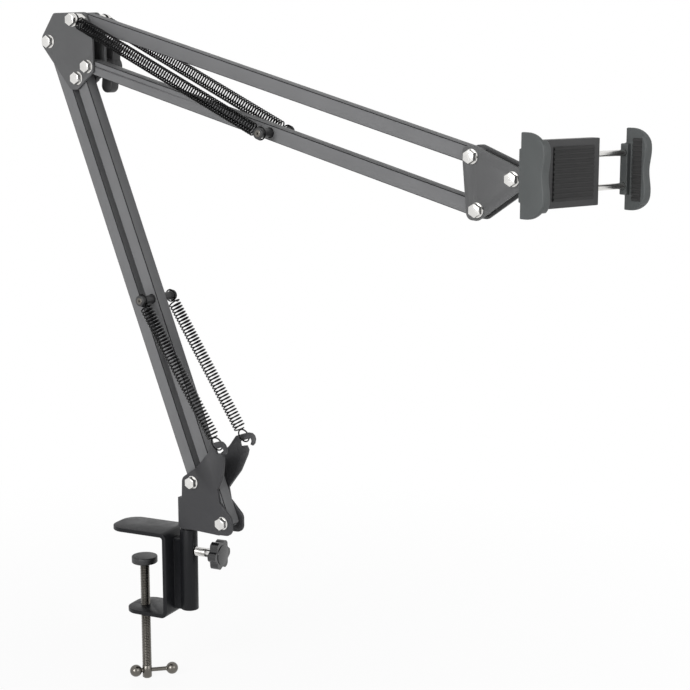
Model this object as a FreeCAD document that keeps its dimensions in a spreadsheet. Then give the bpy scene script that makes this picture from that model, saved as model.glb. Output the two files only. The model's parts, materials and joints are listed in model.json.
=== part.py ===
import FreeCAD, Part
import math
import os
import Sketcher

# Overhead phone stand: desk clamp, swivelling sprung arm of two parallel linkages, and a phone holder.
# Millimetres. X is the way the arm reaches, Z is up, the origin is on the clamp tongue's underside.

# Sizes that can be set by themselves
SIZES = {
    # Linkages
    "bar_length": 335.0,  # pivot to pivot, lower bars
    "upper_short": 3.9,  # upper bars shorter than the lower ones
    "bar_width": 10.0,  # square tube
    "bar_wall": 1.2,
    "bar_end_trim": 0.1,  # bar end short of half a width past its pivot
    "bar_end_flat": 0.4,  # flat left at the middle of a rounded bar end
    "lower_lean": 112.3,  # lower bars at rest, degrees from X
    "upper_lean": -14.9,  # upper bars at rest, degrees from X
    "side_gap": 0.4,  # play between a bar and a plate
    "plate_thick": 2.0,
    # Bolts, shared by all nine pivots
    "bolt_radius": 3.0,
    "pivot_play": 0.08,  # radial running clearance
    "bolt_fit": 0.02,  # radial clearance where nothing turns
    "thread_past": 1.2,  # bolt end past its nut
    "flange_radius": 4.7,
    "flange_thick": 1.0,
    "hex_corner_radius": 4.4,
    "head_height": 3.4,
    "nut_height": 4.0,
    "spring_offset": 15.4,  # spring axis from the arm's middle plane
    # Arm frame in the world
    "clamp_turn": 9.0,  # clamp turned under the arm at rest, degrees
    "post_from_mount": 38.3,  # swivel axis from the clamping axis
    "tongue_thick": 3.0,
    "tube_stand": 2.0,  # post tube above the tongue
    "fork_lift": 1.5,  # post collar under the fork floor
    "swivel_gap": 0.4,  # post collar above the tube's rim
    # Pivots in the arm frame
    "pivot_rear_x": 10.6,
    "pivot_front_z": 10.1,
    "lower_span_x": 26.8,
    "lower_span_z": -25.9,
    "low_from_front_x": 10.0,  # low pivot of the upper bars from the elbow's front pivot
    "low_from_front_z": 8.3,
    "upper_span_x": 4.4,
    "upper_span_z": -32.6,
    "nose_from_head_x": 28.8,
    "nose_from_head_z": -12.6,
    # Clamp
    "clamp_width": 32.0,
    "web_thick": 3.0,
    "tongue_reach": 46.6,  # tongue past the web's inner face
    "tongue_corner": 12.0,
    "bend_radius": 5.0,
    "throat": 58.0,  # tongue to lip
    "lip_reach": 35.2,
    "tube_radius": 6.4,
    "weld_depth": 0.4,  # rib let into the web
    "web_from_post": 10.3,  # web's outer face to the post's axis
    "weld_rib": 9.0,  # rib between web and tube
    "post_radius": 4.4,
    "tube_length": 61.0,
    "post_length": 46.0,
    "lock_height": 11.6,  # lock screw below the tongue's underside
    "lock_radius": 3.3,
    "lock_tip_gap": 0.4,  # slack screw tip inside the tube's bore
    "lock_neck": 15.3,  # screw bare between tube and knob
    "lock_depth": 5.2,  # screw inside its knob
    "knob_radius": 10.9,
    "knob_depth": 6.4,
    "knob_lobes": 6.0,
    "screw_radius": 3.5,
    "screw_length": 92.0,
    "pad_radius": 9.5,
    "pad_height": 5.0,
    "desk_thick": 21.0,  # desk in the clamp at rest
    "bar_hole_up": 5.5,  # tommy bar above the screw's foot
    "screw_end_gap": 0.35,  # screw short of the pad socket's floor
    "tommy_gap": 0.35,  # ball clear of the screw at rest
    "tommy_radius": 1.5,
    "tommy_ball": 4.5,
    "tommy_span": 27.0,  # ball centre to ball centre
    "tommy_turn": 47.0,  # tommy bar at rest, degrees from X
    # Springs
    "spring_radius": 4.7,
    "spring_root": 3.9,
    "loop_wire": 0.6,  # half the wire's thickness
    "loop_play": 0.7,  # loop round its pin
    "loop_side": 0.6,  # pin bare beside the loop
    "neck_wire": 0.9,  # wire bent from the coil to its loop
    "coil_gap": 0.7,  # coil clear of the flange beside its loop
    "peg_past": 3.2,  # peg past the spring's middle
    "upper_ribs": 46.0,
    "lower_ribs": 28.0,
    # Elbow knob
    "elbow_knob_radius": 19.0,
    "elbow_knob_depth": 8.0,
    "elbow_hub_radius": 5.5,
    "elbow_dip": 11.5,  # hollows between the lobes
    "hub_past_nut": 0.4,  # knob clear of the nut beside it
    "knob_cover": 2.0,  # knob's closed end over the bolt
    "hub_overlap": 1.0,  # hub let into the knob
    "knob_bore_end": 1.5,  # knob left closed past its bore
    # Holder, in its own frame from the ball's centre
    "ball_from_nose": 30.8,
    "holder_turn": -17.0,  # holder's face turned from the arm, degrees
    "ball_radius": 6.0,
    "ball_play": 0.1,
    "neck_radius": 2.6,
    "socket_radius": 8.8,
    "collar_wall": 2.4,
    "phone_gap": 84.0,
    "phone_lift": 5.6,  # middle of the jaws above the ball
    "back_near": 7.2,
    "back_far": 13.8,
    "back_left": -35.0,
    "back_right": 15.0,
    "back_height": 40.0,
    "pad_thick": 1.2,
    "jaw_height": 49.8,
    "jaw_wall": 2.8,
    "jaw_back": 9.0,
    "lip_inner": 24.4,
    "lip_thick": 3.4,
    "rod_radius": 1.9,
    "rod_spacing": 20.0,
    "rod_inner_end": -12.0,
    "rod_cover": 1.5,  # jaw wall left over a rod's end
    "rod_hole_end": 2.0,  # back left closed past a rod hole
    # Corner rounds
    "elbow_round": 3.0,
    "head_round": 4.6,
    "fork_round": 5.5,
    # Base fork: two side plates, back web, floor and two splayed ears with hooks
    "ear_splay": 15.0,  # degrees
    # Bolts and nuts
    "knob_gap": 0.4,
    "sleeve_radius": 4.4,
    # Elbow knob on the low bolt's far end
    "elbow_lobe": 5.0,
    "elbow_knob_lean": 83.0,  # knob at rest, degrees from X
    # Ear hook from the rear pivot, before the ear is splayed
    "hook_dx": 30.6,
    "hook_dz": 34.2,
    # Fork
    "fork_back": 14.1,  # fork's back face behind the rear pivot
    "fork_toe": 6.9,  # fork's flat foot short of the front pivot
    "floor_short": 3.4,  # fork floor short of the front pivot
    "flange_step": 0.6,  # post collar inside the tube's outside
    # Spring pegs through the bars
    "peg_rim": 4.0,
    "peg_rim_thick": 1.2,
    # Lock screw and its knob
    "lock_lobe": 4.1,
    "lock_core": 8.8,
    "lock_cap": 7.4,
    "lock_cap_thick": 0.6,
    # Clamp screw, pressure pad and tommy bar
    "pad_socket": 2.7,
    # Nose link and ball stud
    "link_back": 7.0,
    "link_front": 11.5,
    "link_half": 7.0,
    "link_flat": 1.5,  # flat left at the back of the link
    "stud_gap": 0.4,  # stud clear of the link
    "stud_shank": 3.0,
    "stud_seat": 4.8,  # stud's inner end from the nose pivot
    "stud_flange": 5.0,
    "stud_flange_thick": 1.4,
    # Collar nut
    "collar_back": -7.2,
    "collar_front": 3.2,
    "collar_shelf": -3.2,
    "collar_play": 0.36,  # collar's throat round the ball
    "collar_flare": 1.6,  # throat widens to its mouth
    # Holder back with its ball socket and rod holes
    "socket_back": -2.8,
    "overlap": 0.5,  # let one form into the next where they are one piece
    "rest_left": -24.0,
    "rest_width": 34.0,
    "rest_height": 32.0,
    # Jaws
    "grip_thick": 1.2,
    "foot_height": 31.0,
    "foot_thick": 5.8,
    "grip_back": 15.2,
    "grip_short": 0.9,  # grip short of the lip
    "lip_bulge": 1.5,  # wave of the lip's front
    "lip_least": 2.0,  # lip in front of the phone
    "foot_past": 2.0,  # foot under the phone
    "foot_step": 0.4,  # foot stands forward of the back's rear face
    "grip_height": 38.0,
}

# Outline corners of the plates: the pivot each one belongs to, and how far it lies along X and Z from there
ELBOW_EDGE = [
    ("elbow_top", -28.0, 5.2), ("elbow_top", 3.4, 5.55), ("elbow_top", 9.4, -11.0), ("elbow_low", 5.0, -3.35),
    ("elbow_front", -0.8, -8.25), ("elbow_front", -7.3, -8.25), ("elbow_rear", -7.5, -2.95),
    ("elbow_rear", -7.5, 3.55)]
HEAD_EDGE = [
    ("head_top", -7.2, 6.2), ("head_top", 1.2, 6.8), ("nose", 7.7, 5.4), ("nose", 7.7, -4.8),
    ("head_low", 0.6, -6.8), ("head_low", -7.4, -6.2)]
FORK_EDGE = [
    ("fork_foot", 0.0, 0.0), ("fork_toe", 0.0, 0.0), ("pivot_front", 8.2, -8.5), ("pivot_front", 8.2, 4.1),
    ("pivot_front", -2.9, 14.4), ("pivot_front", -4.5, 22.9), ("pivot_rear", 3.9, 11.5),
    ("pivot_rear", -10.0, 2.0), ("pivot_rear", -10.6, -13.0), ("pivot_rear", -14.1, -13.0)]
EAR_EDGE = [
    ("pivot_rear", 3.9, 11.5), ("pivot_rear", 19.4, 26.2), ("pivot_rear", 24.0, 34.0), ("pivot_rear", 29.6, 36.2),
    ("pivot_rear", 33.8, 37.6), ("pivot_rear", 36.6, 37.5), ("pivot_rear", 38.8, 35.9), ("pivot_rear", 39.8, 33.4),
    ("pivot_rear", 39.6, 30.6), ("pivot_rear", 38.2, 28.6), ("pivot_rear", 36.4, 29.2), ("pivot_rear", 36.9, 31.6),
    ("pivot_rear", 36.2, 33.4), ("pivot_rear", 34.6, 33.3), ("pivot_rear", 27.9, 30.7), ("pivot_rear", 29.0, 27.4),
    ("pivot_rear", 33.6, 28.4), ("pivot_rear", 35.4, 25.4), ("pivot_rear", 35.0, 22.0), ("pivot_rear", 31.0, 10.0),
    ("pivot_front", -4.5, 22.9)]

# Sizes that follow from the ones above
DERIVED = {
    # Linkages
    "peg_along": "=bar_length / 2",  # spring peg along its bar
    "upper_length": "=bar_length - upper_short",
    "upper_peg_along": "=upper_length / 2",
    "bar_end": "=bar_width / 2 - bar_end_trim",  # tube past the pivot
    "bar_end_radius": "=bar_width / 2 - bar_end_flat",
    "plate_inner": "=bar_width / 2 + side_gap",
    "plate_outer": "=plate_inner + plate_thick",
    # Bolts, shared by all nine pivots
    "bar_hole": "=bolt_radius + pivot_play",
    "plate_hole": "=bolt_radius + bolt_fit",
    # Arm frame in the world
    "swivel_x": "=post_from_mount * cos(clamp_turn * 1 deg)",
    "swivel_y": "=post_from_mount * sin(clamp_turn * 1 deg)",
    "arm_z": "=tongue_thick + tube_stand + fork_lift",  # fork floor's underside
    # Pivots in the arm frame
    "pivot_front_x": "=pivot_rear_x + lower_span_x",
    "pivot_rear_z": "=pivot_front_z - lower_span_z",
    "elbow_rear_x": "=pivot_rear_x + bar_length * cos(lower_lean * 1 deg)",
    "elbow_rear_z": "=pivot_rear_z + bar_length * sin(lower_lean * 1 deg)",
    "elbow_front_x": "=elbow_rear_x + lower_span_x",
    "elbow_front_z": "=elbow_rear_z + lower_span_z",
    "elbow_low_x": "=elbow_front_x + low_from_front_x",
    "elbow_low_z": "=elbow_front_z + low_from_front_z",
    "elbow_top_x": "=elbow_low_x - upper_span_x",
    "elbow_top_z": "=elbow_low_z - upper_span_z",
    "head_top_x": "=elbow_top_x + upper_length * cos(upper_lean * 1 deg)",
    "head_top_z": "=elbow_top_z + upper_length * sin(upper_lean * 1 deg)",
    "head_low_x": "=head_top_x + upper_span_x",
    "head_low_z": "=head_top_z + upper_span_z",
    "nose_x": "=head_top_x + nose_from_head_x",
    "nose_z": "=head_top_z + nose_from_head_z",
    # Clamp
    "tube_bore": "=post_radius + pivot_play",
    "web_outer": "=post_from_mount - web_from_post",  # web's outer face from the clamping axis
    # Bars
    "bar_low": "=-bar_end",
    "bar_high": "=bar_length + bar_end",
    "upper_high": "=upper_length + bar_end",
    "half_bar": "=bar_width / 2",
    "minus_half_bar": "=-bar_width / 2",
    "bar_bore": "=bar_width - 2 * bar_wall",
    "centre_line": "=0 * bar_width",  # bar's middle line
    # Base fork: two side plates, back web, floor and two splayed ears with hooks
    # Fork outline
    "fork_foot_x": "=pivot_rear_x - fork_back",
    "fork_foot_z": "=swivel_gap * 1",
    "fork_toe_x": "=pivot_front_x - fork_toe",
    "fork_toe_z": "=swivel_gap * 1",
    # Bolts and nuts
    "shank_tail": "=plate_outer + nut_height + thread_past",  # bolt past the far plate
    "stud_head_at": "=spring_offset + loop_wire + loop_side",  # stud head's inner face
    "stud_tail": "=stud_head_at + nut_height + thread_past",
    "elbow_hub_length": "=shank_tail - plate_outer + hub_past_nut",  # clears the nut beside it
    "knob_tail": "=plate_outer + knob_gap + elbow_hub_length + elbow_knob_depth - knob_cover",
    "sleeve_end": "=spring_offset - loop_wire - loop_side",
    # Elbow knob on the low bolt's far end
    "elbow_lobe_at": "=elbow_knob_radius - elbow_lobe",
    "elbow_core": "=elbow_knob_radius - elbow_dip",
    # Springs and pegs
    "loop_radius": "=bolt_radius + loop_wire + loop_play",
    "coil_start": "=flange_radius + coil_gap",  # coil from the middle of its loop
    "stud_reach": "=spring_offset + peg_past",  # half a peg's length
    "hook_x": "=pivot_rear_x + hook_dx",
    "hook_z": "=pivot_rear_z + hook_dz",
    "lower_peg_x": "=pivot_front_x + peg_along * cos(lower_lean * 1 deg)",
    "lower_peg_z": "=pivot_front_z + peg_along * sin(lower_lean * 1 deg)",
    "upper_peg_x": "=elbow_low_x + upper_peg_along * cos(upper_lean * 1 deg)",
    "upper_peg_z": "=elbow_low_z + upper_peg_along * sin(upper_lean * 1 deg)",
    # Clamp frame: bent plate with its post tube welded on
    "web_inner": "=web_outer - web_thick",
    "bend_inner": "=bend_radius - web_thick",
    "tongue_tip": "=web_inner - tongue_reach",
    "lip_tip": "=web_inner - lip_reach",
    "under_tongue": "=0 * throat",  # tongue's underside
    "lip_top": "=-throat",
    "lip_bottom": "=-throat - tongue_thick",
    "screw_hole": "=screw_radius + pivot_play",
    # Lock screw and its knob
    "lock_tip": "=tube_bore + lock_tip_gap",  # screw tip from the post's axis
    "lock_knob_at": "=tube_radius + lock_neck",
    "lock_length": "=lock_knob_at - lock_tip + lock_depth",
    "lock_lobe_at": "=knob_radius - lock_lobe",
    # Clamp screw, pressure pad and tommy bar
    "pad_bottom": "=-desk_thick - pad_height",
    "screw_top": "=pad_bottom + pad_socket - screw_end_gap",
    "screw_foot": "=screw_top - screw_length",
    "tommy_z": "=screw_foot + bar_hole_up",
    "tommy_start": "=-(screw_radius + tommy_ball + tommy_gap)",
    # Nose link and ball stud
    "link_x_low": "=nose_x - link_back",
    "link_x_high": "=nose_x + link_front",
    "link_z_low": "=nose_z - link_half",
    "link_z_high": "=nose_z + link_half",
    "link_round": "=link_half - link_flat",
    # Collar nut
    "collar_radius": "=socket_radius + collar_wall",
    "collar_throat": "=sqrt(ball_radius ^ 2 - collar_shelf ^ 2) + collar_play",
    "collar_mouth": "=collar_throat + collar_flare",
    # Holder back with its ball socket and rod holes
    "back_low": "=phone_lift - back_height / 2",
    "rod_line": "=(back_near + back_far) / 2",
    # Jaws
    "half_gap": "=phone_gap / 2",
    "wall_inner": "=half_gap + grip_thick",
    "wall_outer": "=wall_inner + jaw_wall",
    "lip_end": "=half_gap - lip_least",
    "jaw_reach": "=wall_outer - lip_end",
    "jaw_low": "=phone_lift - jaw_height / 2",
    "jaw_high": "=phone_lift + jaw_height / 2",
    "foot_inner": "=half_gap - foot_past",
    "grip_deep": "=lip_inner - grip_back - grip_short",
}

doc = FreeCAD.newDocument("overhead_phone_stand")
sheet = doc.addObject("Spreadsheet::Sheet", "Sizes")
row_count = 0


def size(alias, text):
    """Write one named size to the sheet, as a number or as a formula on other sizes."""
    global row_count
    row_count += 1
    sheet.set("A%d" % row_count, alias)
    sheet.set("B%d" % row_count, text)
    sheet.setAlias("B%d" % row_count, alias)


def val(alias):
    """Read one size back as a number, whatever sign it carries."""
    sign = 1.0
    if alias.startswith("-"):
        sign = -1.0
        alias = alias[1:]
    got = sheet.get(alias)
    return sign * float(got.Value if hasattr(got, "Value") else got)


def corners(stem, points):
    """Name every corner of an outline, and give back the pairs of names."""
    names = []
    for number, (pivot, along, up) in enumerate(points, 1):
        name_x = "%s_x_%02d" % (stem, number)
        name_z = "%s_z_%02d" % (stem, number)
        size(name_x, "=%s_x + %r" % (pivot, along))
        size(name_z, "=%s_z + %r" % (pivot, up))
        names.append((name_x, name_z))
    return names


for alias, number in SIZES.items():
    size(alias, repr(number))
for alias, formula in DERIVED.items():
    size(alias, formula)
elbow_corners = corners("elbow_edge", ELBOW_EDGE)
head_corners = corners("head_edge", HEAD_EDGE)
fork_corners = corners("fork_edge", FORK_EDGE)
ear_corners = corners("ear_edge", EAR_EDGE)
doc.recompute()

VEC = FreeCAD.Vector
UP = VEC(0, 0, 1)
ARM_ROT = FreeCAD.Rotation(VEC(1, 0, 0), 90)
ARM_AT = VEC(val("swivel_x"), val("swivel_y"), val("arm_z"))
CLAMP_ROT = FreeCAD.Rotation(UP, val("clamp_turn"))
HOLDER_ROT = FreeCAD.Rotation(UP, val("holder_turn"))
HOLDER_AT = ARM_AT + VEC(val("nose_x") + val("ball_from_nose"), 0, val("nose_z"))
nodes = []


def at_arm(y):
    """Placement that lays a sketch in the arm's plane, its back face at y."""
    return FreeCAD.Placement(ARM_AT + VEC(0, y, 0), ARM_ROT)


def keep(obj, label):
    """Hand one finished object in as a node."""
    obj.Label = label
    nodes.append(obj)
    return obj


def cylinder(name, radius, height, place):
    """A cylinder whose radius and height are named sizes."""
    obj = doc.addObject("Part::Cylinder", name)
    obj.setExpression("Radius", radius)
    obj.setExpression("Height", height)
    obj.Placement = place
    return obj


def box(name, length, width, height, place):
    """A box whose three sizes are formulas on named sizes."""
    obj = doc.addObject("Part::Box", name)
    obj.setExpression("Length", length)
    obj.setExpression("Width", width)
    obj.setExpression("Height", height)
    obj.Placement = place
    return obj


def prism(name, radius, height, place, sides=6):
    """A regular prism across its corners."""
    obj = doc.addObject("Part::Prism", name)
    obj.Polygon = sides
    obj.setExpression("Circumradius", radius)
    obj.setExpression("Height", height)
    obj.Placement = place
    return obj


def cone(name, first, second, height, place):
    """A cone between two named radii."""
    obj = doc.addObject("Part::Cone", name)
    obj.setExpression("Radius1", first)
    obj.setExpression("Radius2", second)
    obj.setExpression("Height", height)
    obj.Placement = place
    return obj


def ball(name, radius, place):
    """A sphere."""
    obj = doc.addObject("Part::Sphere", name)
    obj.setExpression("Radius", radius)
    obj.Placement = place
    return obj


def fuse(name, shapes):
    """Join shapes into one."""
    obj = doc.addObject("Part::MultiFuse", name)
    obj.Shapes = shapes
    obj.Refine = True
    return obj


def cut(name, base, tool):
    """Take one shape from another."""
    obj = doc.addObject("Part::Cut", name)
    obj.Base = base
    obj.Tool = tool
    obj.Refine = True
    return obj


def drawn(body, name, points, holes=()):
    """A closed sketch whose corners and holes are tied to named sizes."""
    sketch = body.newObject("Sketcher::SketchObject", name)
    spots = [VEC(val(x), val(z), 0) for x, z in points]
    count = len(spots)
    for index in range(count):
        sketch.addGeometry(Part.LineSegment(spots[index], spots[(index + 1) % count]), False)
    for index in range(count):
        sketch.addConstraint(Sketcher.Constraint("Coincident", index, 2, (index + 1) % count, 1))
    for index, (x, z) in enumerate(points):
        for kind, alias in (("DistanceX", x), ("DistanceY", z)):
            where = sketch.addConstraint(Sketcher.Constraint(kind, -1, 1, index, 1, val(alias)))
            sketch.setExpression("Constraints[%d]" % where, signed(alias))
    for x, z, radius in holes:
        centre = VEC(val(x), val(z), 0)
        ring = sketch.addGeometry(Part.Circle(centre, VEC(0, 0, 1), val(radius)), False)
        for kind, alias in (("DistanceX", x), ("DistanceY", z)):
            if abs(val(alias)) < 1e-9:
                sketch.addConstraint(Sketcher.Constraint("PointOnObject", ring, 3, -1 if kind == "DistanceY" else -2))
                continue
            where = sketch.addConstraint(Sketcher.Constraint(kind, -1, 1, ring, 3, val(alias)))
            sketch.setExpression("Constraints[%d]" % where, signed(alias))
        where = sketch.addConstraint(Sketcher.Constraint("Radius", ring, val(radius)))
        sketch.setExpression("Constraints[%d]" % where, signed(radius))
    return sketch


def signed(alias):
    """Sheet reference for a name that may carry a minus sign."""
    if alias.startswith("-"):
        return "-Sizes." + alias[1:]
    return "Sizes." + alias


def plate(label, points, thick, place, holes=(), round_alias=None, skip=()):
    """A flat plate: sketch, pad and rounded corners in one body."""
    body = doc.addObject("PartDesign::Body", label)
    sketch = drawn(body, label + "_outline", points, holes)
    pad = body.newObject("PartDesign::Pad", label + "_pad")
    pad.Profile = sketch
    pad.setExpression("Length", "Sizes." + thick)
    doc.recompute()
    if round_alias:
        picks = []
        wanted = [VEC(val(x), val(z), 0) for n, (x, z) in enumerate(points) if n not in skip]
        for number, edge in enumerate(pad.Shape.Edges, 1):
            if len(edge.Vertexes) != 2:
                continue
            first = edge.Vertexes[0].Point
            second = edge.Vertexes[1].Point
            if abs(first.x - second.x) > 1e-6 or abs(first.y - second.y) > 1e-6:
                continue
            flat = VEC(first.x, first.y, 0)
            if any(flat.distanceToPoint(spot) < 1e-4 for spot in wanted):
                picks.append("Edge%d" % number)
        rounded = body.newObject("PartDesign::Fillet", label + "_round")
        rounded.Base = (pad, picks)
        rounded.setExpression("Radius", "Sizes." + round_alias)
    body.Placement = place
    doc.recompute()
    return body


def spot(x, z, y=0.0):
    """Point of the arm frame from two names and a depth."""
    return ARM_AT + VEC(val(x), y, val(z))


AWAY = FreeCAD.Rotation(VEC(0, 0, 1), VEC(0, 1, 0))
NEAR = FreeCAD.Rotation(VEC(0, 0, 1), VEC(0, -1, 0))
doc.recompute()

# Bars
doc.recompute()
LOWER = ("bar_length", "bar_high", "peg_along")
UPPER = ("upper_length", "upper_high", "upper_peg_along")


def bar(label, x, z, lean, lengths, peg=False):
    """One square tube with its pivot holes, its first pivot at the given point."""
    span, high, peg_at = lengths
    holes = [("centre_line", "centre_line", "bar_hole"), (span, "centre_line", "bar_hole")]
    if peg:
        holes.append((peg_at, "centre_line", "plate_hole"))
    edge = [("bar_low", "minus_half_bar"), (high, "minus_half_bar"), (high, "half_bar"), ("bar_low", "half_bar")]
    turn = FreeCAD.Rotation(VEC(0, 1, 0), -val(lean))
    place = FreeCAD.Placement(spot(x, z, val("half_bar")), turn.multiply(ARM_ROT))
    body = plate(label, edge, "bar_width", place, holes, "bar_end_radius")
    hollow = body.newObject("PartDesign::SubtractiveBox", label + "_bore")
    hollow.setExpression("Length", "Sizes.%s + 4 * Sizes.bar_width" % span)
    hollow.setExpression("Width", "Sizes.bar_bore")
    hollow.setExpression("Height", "Sizes.bar_bore")
    hollow.Placement = FreeCAD.Placement(
        VEC(-2 * val("bar_width"), -val("bar_bore") / 2, val("bar_wall")), FreeCAD.Rotation())
    doc.recompute()
    return keep(body, label)


bar("lower_rear_bar", "pivot_rear_x", "pivot_rear_z", "lower_lean", LOWER)
bar("lower_front_bar", "pivot_front_x", "pivot_front_z", "lower_lean", LOWER, True)
bar("upper_top_bar", "elbow_top_x", "elbow_top_z", "upper_lean", UPPER)
bar("upper_bottom_bar", "elbow_low_x", "elbow_low_z", "upper_lean", UPPER, True)

# Elbow and head plates
ELBOW_HOLES = [("elbow_rear_x", "elbow_rear_z", "plate_hole"), ("elbow_front_x", "elbow_front_z", "plate_hole"),
               ("elbow_top_x", "elbow_top_z", "plate_hole"), ("elbow_low_x", "elbow_low_z", "plate_hole")]
HEAD_HOLES = [("head_top_x", "head_top_z", "plate_hole"), ("head_low_x", "head_low_z", "plate_hole"),
              ("nose_x", "nose_z", "plate_hole")]
for label, edge, holes, radius in (("elbow_plate", elbow_corners, ELBOW_HOLES, "elbow_round"),
                                   ("head_plate", head_corners, HEAD_HOLES, "head_round")):
    keep(plate(label + "_near", edge, "plate_thick", at_arm(-val("plate_inner")), holes, radius), label + "_near")
    keep(plate(label + "_far", edge, "plate_thick", at_arm(val("plate_outer")), holes, radius), label + "_far")

# Base fork: two side plates, back web, floor and two splayed ears with hooks
FORK_HOLES = [("pivot_rear_x", "pivot_rear_z", "plate_hole"), ("pivot_front_x", "pivot_front_z", "plate_hole")]
ROUND_NOT = (0, 1, 4, 5, 6, 8, 9)
side_near = plate("fork_side_near", fork_corners, "plate_thick", at_arm(-val("plate_inner")), FORK_HOLES,
                  "fork_round", ROUND_NOT)
side_far = plate("fork_side_far", fork_corners, "plate_thick", at_arm(val("plate_outer")), FORK_HOLES,
                 "fork_round", ROUND_NOT)
doc.recompute()
fold_at = spot("ear_edge_x_01", "ear_edge_z_01")
fold_axis = spot(*ear_corners[-1]) - fold_at


def ear(label, y, turn):
    """An ear swung out about the fold line of its side plate."""
    body = plate(label, ear_corners, "plate_thick", at_arm(y))
    swing = FreeCAD.Rotation(fold_axis, turn)
    pivot = VEC(fold_at.x, ARM_AT.y + y - math.copysign(val("plate_thick"), y) * (0 if y < 0 else 1), fold_at.z)
    about = FreeCAD.Placement(VEC(0, 0, 0), swing, pivot)
    body.Placement = about.multiply(body.Placement)
    doc.recompute()
    return body


ear_near = ear("fork_ear_near", -val("plate_inner"), val("ear_splay"))
ear_far = ear("fork_ear_far", val("plate_outer"), -val("ear_splay"))
web = box("fork_web", "Sizes.plate_thick", "2 * Sizes.plate_outer", "Sizes.fork_edge_z_10 - Sizes.fork_foot_z",
          FreeCAD.Placement(spot("fork_foot_x", "fork_foot_z", -val("plate_outer")), FreeCAD.Rotation()))
floor = box("fork_floor", "Sizes.pivot_front_x - Sizes.floor_short - Sizes.fork_foot_x", "2 * Sizes.plate_outer", "Sizes.plate_thick",
            FreeCAD.Placement(spot("fork_foot_x", "fork_foot_z", -val("plate_outer")), FreeCAD.Rotation()))
keep(fuse("base_fork_all", [side_near, side_far, ear_near, ear_far, web, floor]), "base_fork")

# Post below the fork
post_pin = cylinder("post_pin", "Sizes.post_radius", "Sizes.post_length",
                    FreeCAD.Placement(ARM_AT + VEC(0, 0, val("fork_foot_z") - val("post_length")), FreeCAD.Rotation()))
post_flange = cylinder("post_flange", "Sizes.tube_radius - Sizes.flange_step", "Sizes.fork_lift",
                       FreeCAD.Placement(ARM_AT + VEC(0, 0, val("fork_foot_z") - val("fork_lift")), FreeCAD.Rotation()))
keep(fuse("base_post_all", [post_pin, post_flange]), "base_post")

# Bolts and nuts
doc.recompute()


def bolt(label, x, z, head_at="plate_outer", tail="shank_tail", sleeves=False):
    """A flange bolt through the arm's plane, its head towards the viewer."""
    shank = cylinder(label + "_shank", "Sizes.bolt_radius", "Sizes.%s + Sizes.%s" % (head_at, tail),
                     FreeCAD.Placement(spot(x, z, -val(head_at)), AWAY))
    flange = cylinder(label + "_flange", "Sizes.flange_radius", "Sizes.flange_thick",
                      FreeCAD.Placement(spot(x, z, -val(head_at)), NEAR))
    head = prism(label + "_head", "Sizes.hex_corner_radius", "Sizes.head_height",
                 FreeCAD.Placement(spot(x, z, -val(head_at) - val("flange_thick")), NEAR))
    pieces = [shank, flange, head]
    if sleeves:
        for tag, sign, turn in (("near", -1, NEAR), ("far", 1, AWAY)):
            pieces.append(cylinder(label + "_sleeve_" + tag, "Sizes.sleeve_radius",
                                   "Sizes.sleeve_end - Sizes.plate_outer",
                                   FreeCAD.Placement(spot(x, z, sign * val("plate_outer")), turn)))
    return keep(fuse(label + "_all", pieces), label)


def nut(label, x, z, seat="plate_outer"):
    """A flange nut on a bolt's far end."""
    flange = cylinder(label + "_flange", "Sizes.flange_radius", "Sizes.flange_thick",
                      FreeCAD.Placement(spot(x, z, val(seat)), AWAY))
    body = prism(label + "_hex", "Sizes.hex_corner_radius", "Sizes.nut_height",
                 FreeCAD.Placement(spot(x, z, val(seat)), AWAY))
    bore = cylinder(label + "_bore", "Sizes.plate_hole", "Sizes.nut_height + 2",
                    FreeCAD.Placement(spot(x, z, val(seat) - 1), AWAY))
    return keep(cut(label + "_all", fuse(label + "_solid", [flange, body]), bore), label)


for stem in ("pivot_rear", "pivot_front", "elbow_rear", "elbow_front", "head_top", "head_low", "nose"):
    bolt(stem + "_bolt", stem + "_x", stem + "_z")
    nut(stem + "_nut", stem + "_x", stem + "_z")
bolt("elbow_low_bolt", "elbow_low_x", "elbow_low_z", "plate_outer", "knob_tail")
bolt("elbow_top_stud", "elbow_top_x", "elbow_top_z", "stud_head_at", "stud_tail", True)
nut("elbow_top_nut", "elbow_top_x", "elbow_top_z", "stud_head_at")


def star(label, inner, lobe, lobe_at, depth, place, count):
    """A lobed hand knob along its own axis."""
    pieces = [cylinder(label + "_core", inner, depth, place)]
    for number in range(count):
        angle = 2 * math.pi * number / count
        away = VEC(lobe_at * math.cos(angle), lobe_at * math.sin(angle), 0)
        pieces.append(cylinder(label + "_lobe_%d" % number, lobe, depth,
                               place.multiply(FreeCAD.Placement(away, FreeCAD.Rotation()))))
    return fuse(label + "_star", pieces)


# Elbow knob on the low bolt's far end
doc.recompute()
hub_y = val("plate_outer") + val("knob_gap")
hub_place = FreeCAD.Placement(spot("elbow_low_x", "elbow_low_z", hub_y), AWAY)
knob_place = FreeCAD.Placement(spot("elbow_low_x", "elbow_low_z", hub_y + val("elbow_hub_length")), AWAY)
WING_TURN = FreeCAD.Placement(VEC(0, 0, 0), FreeCAD.Rotation(UP, -val("elbow_knob_lean")))
wing_place = knob_place.multiply(WING_TURN)
elbow_star = star("elbow_knob", "Sizes.elbow_core", "Sizes.elbow_lobe", val("elbow_lobe_at"),
                  "Sizes.elbow_knob_depth", wing_place, 2)
wing_corner = FreeCAD.Placement(VEC(-val("elbow_lobe_at"), -val("elbow_lobe"), 0), FreeCAD.Rotation())
elbow_wing = box("elbow_knob_wing", "2 * Sizes.elbow_lobe_at", "2 * Sizes.elbow_lobe", "Sizes.elbow_knob_depth",
                 wing_place.multiply(wing_corner))
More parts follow.
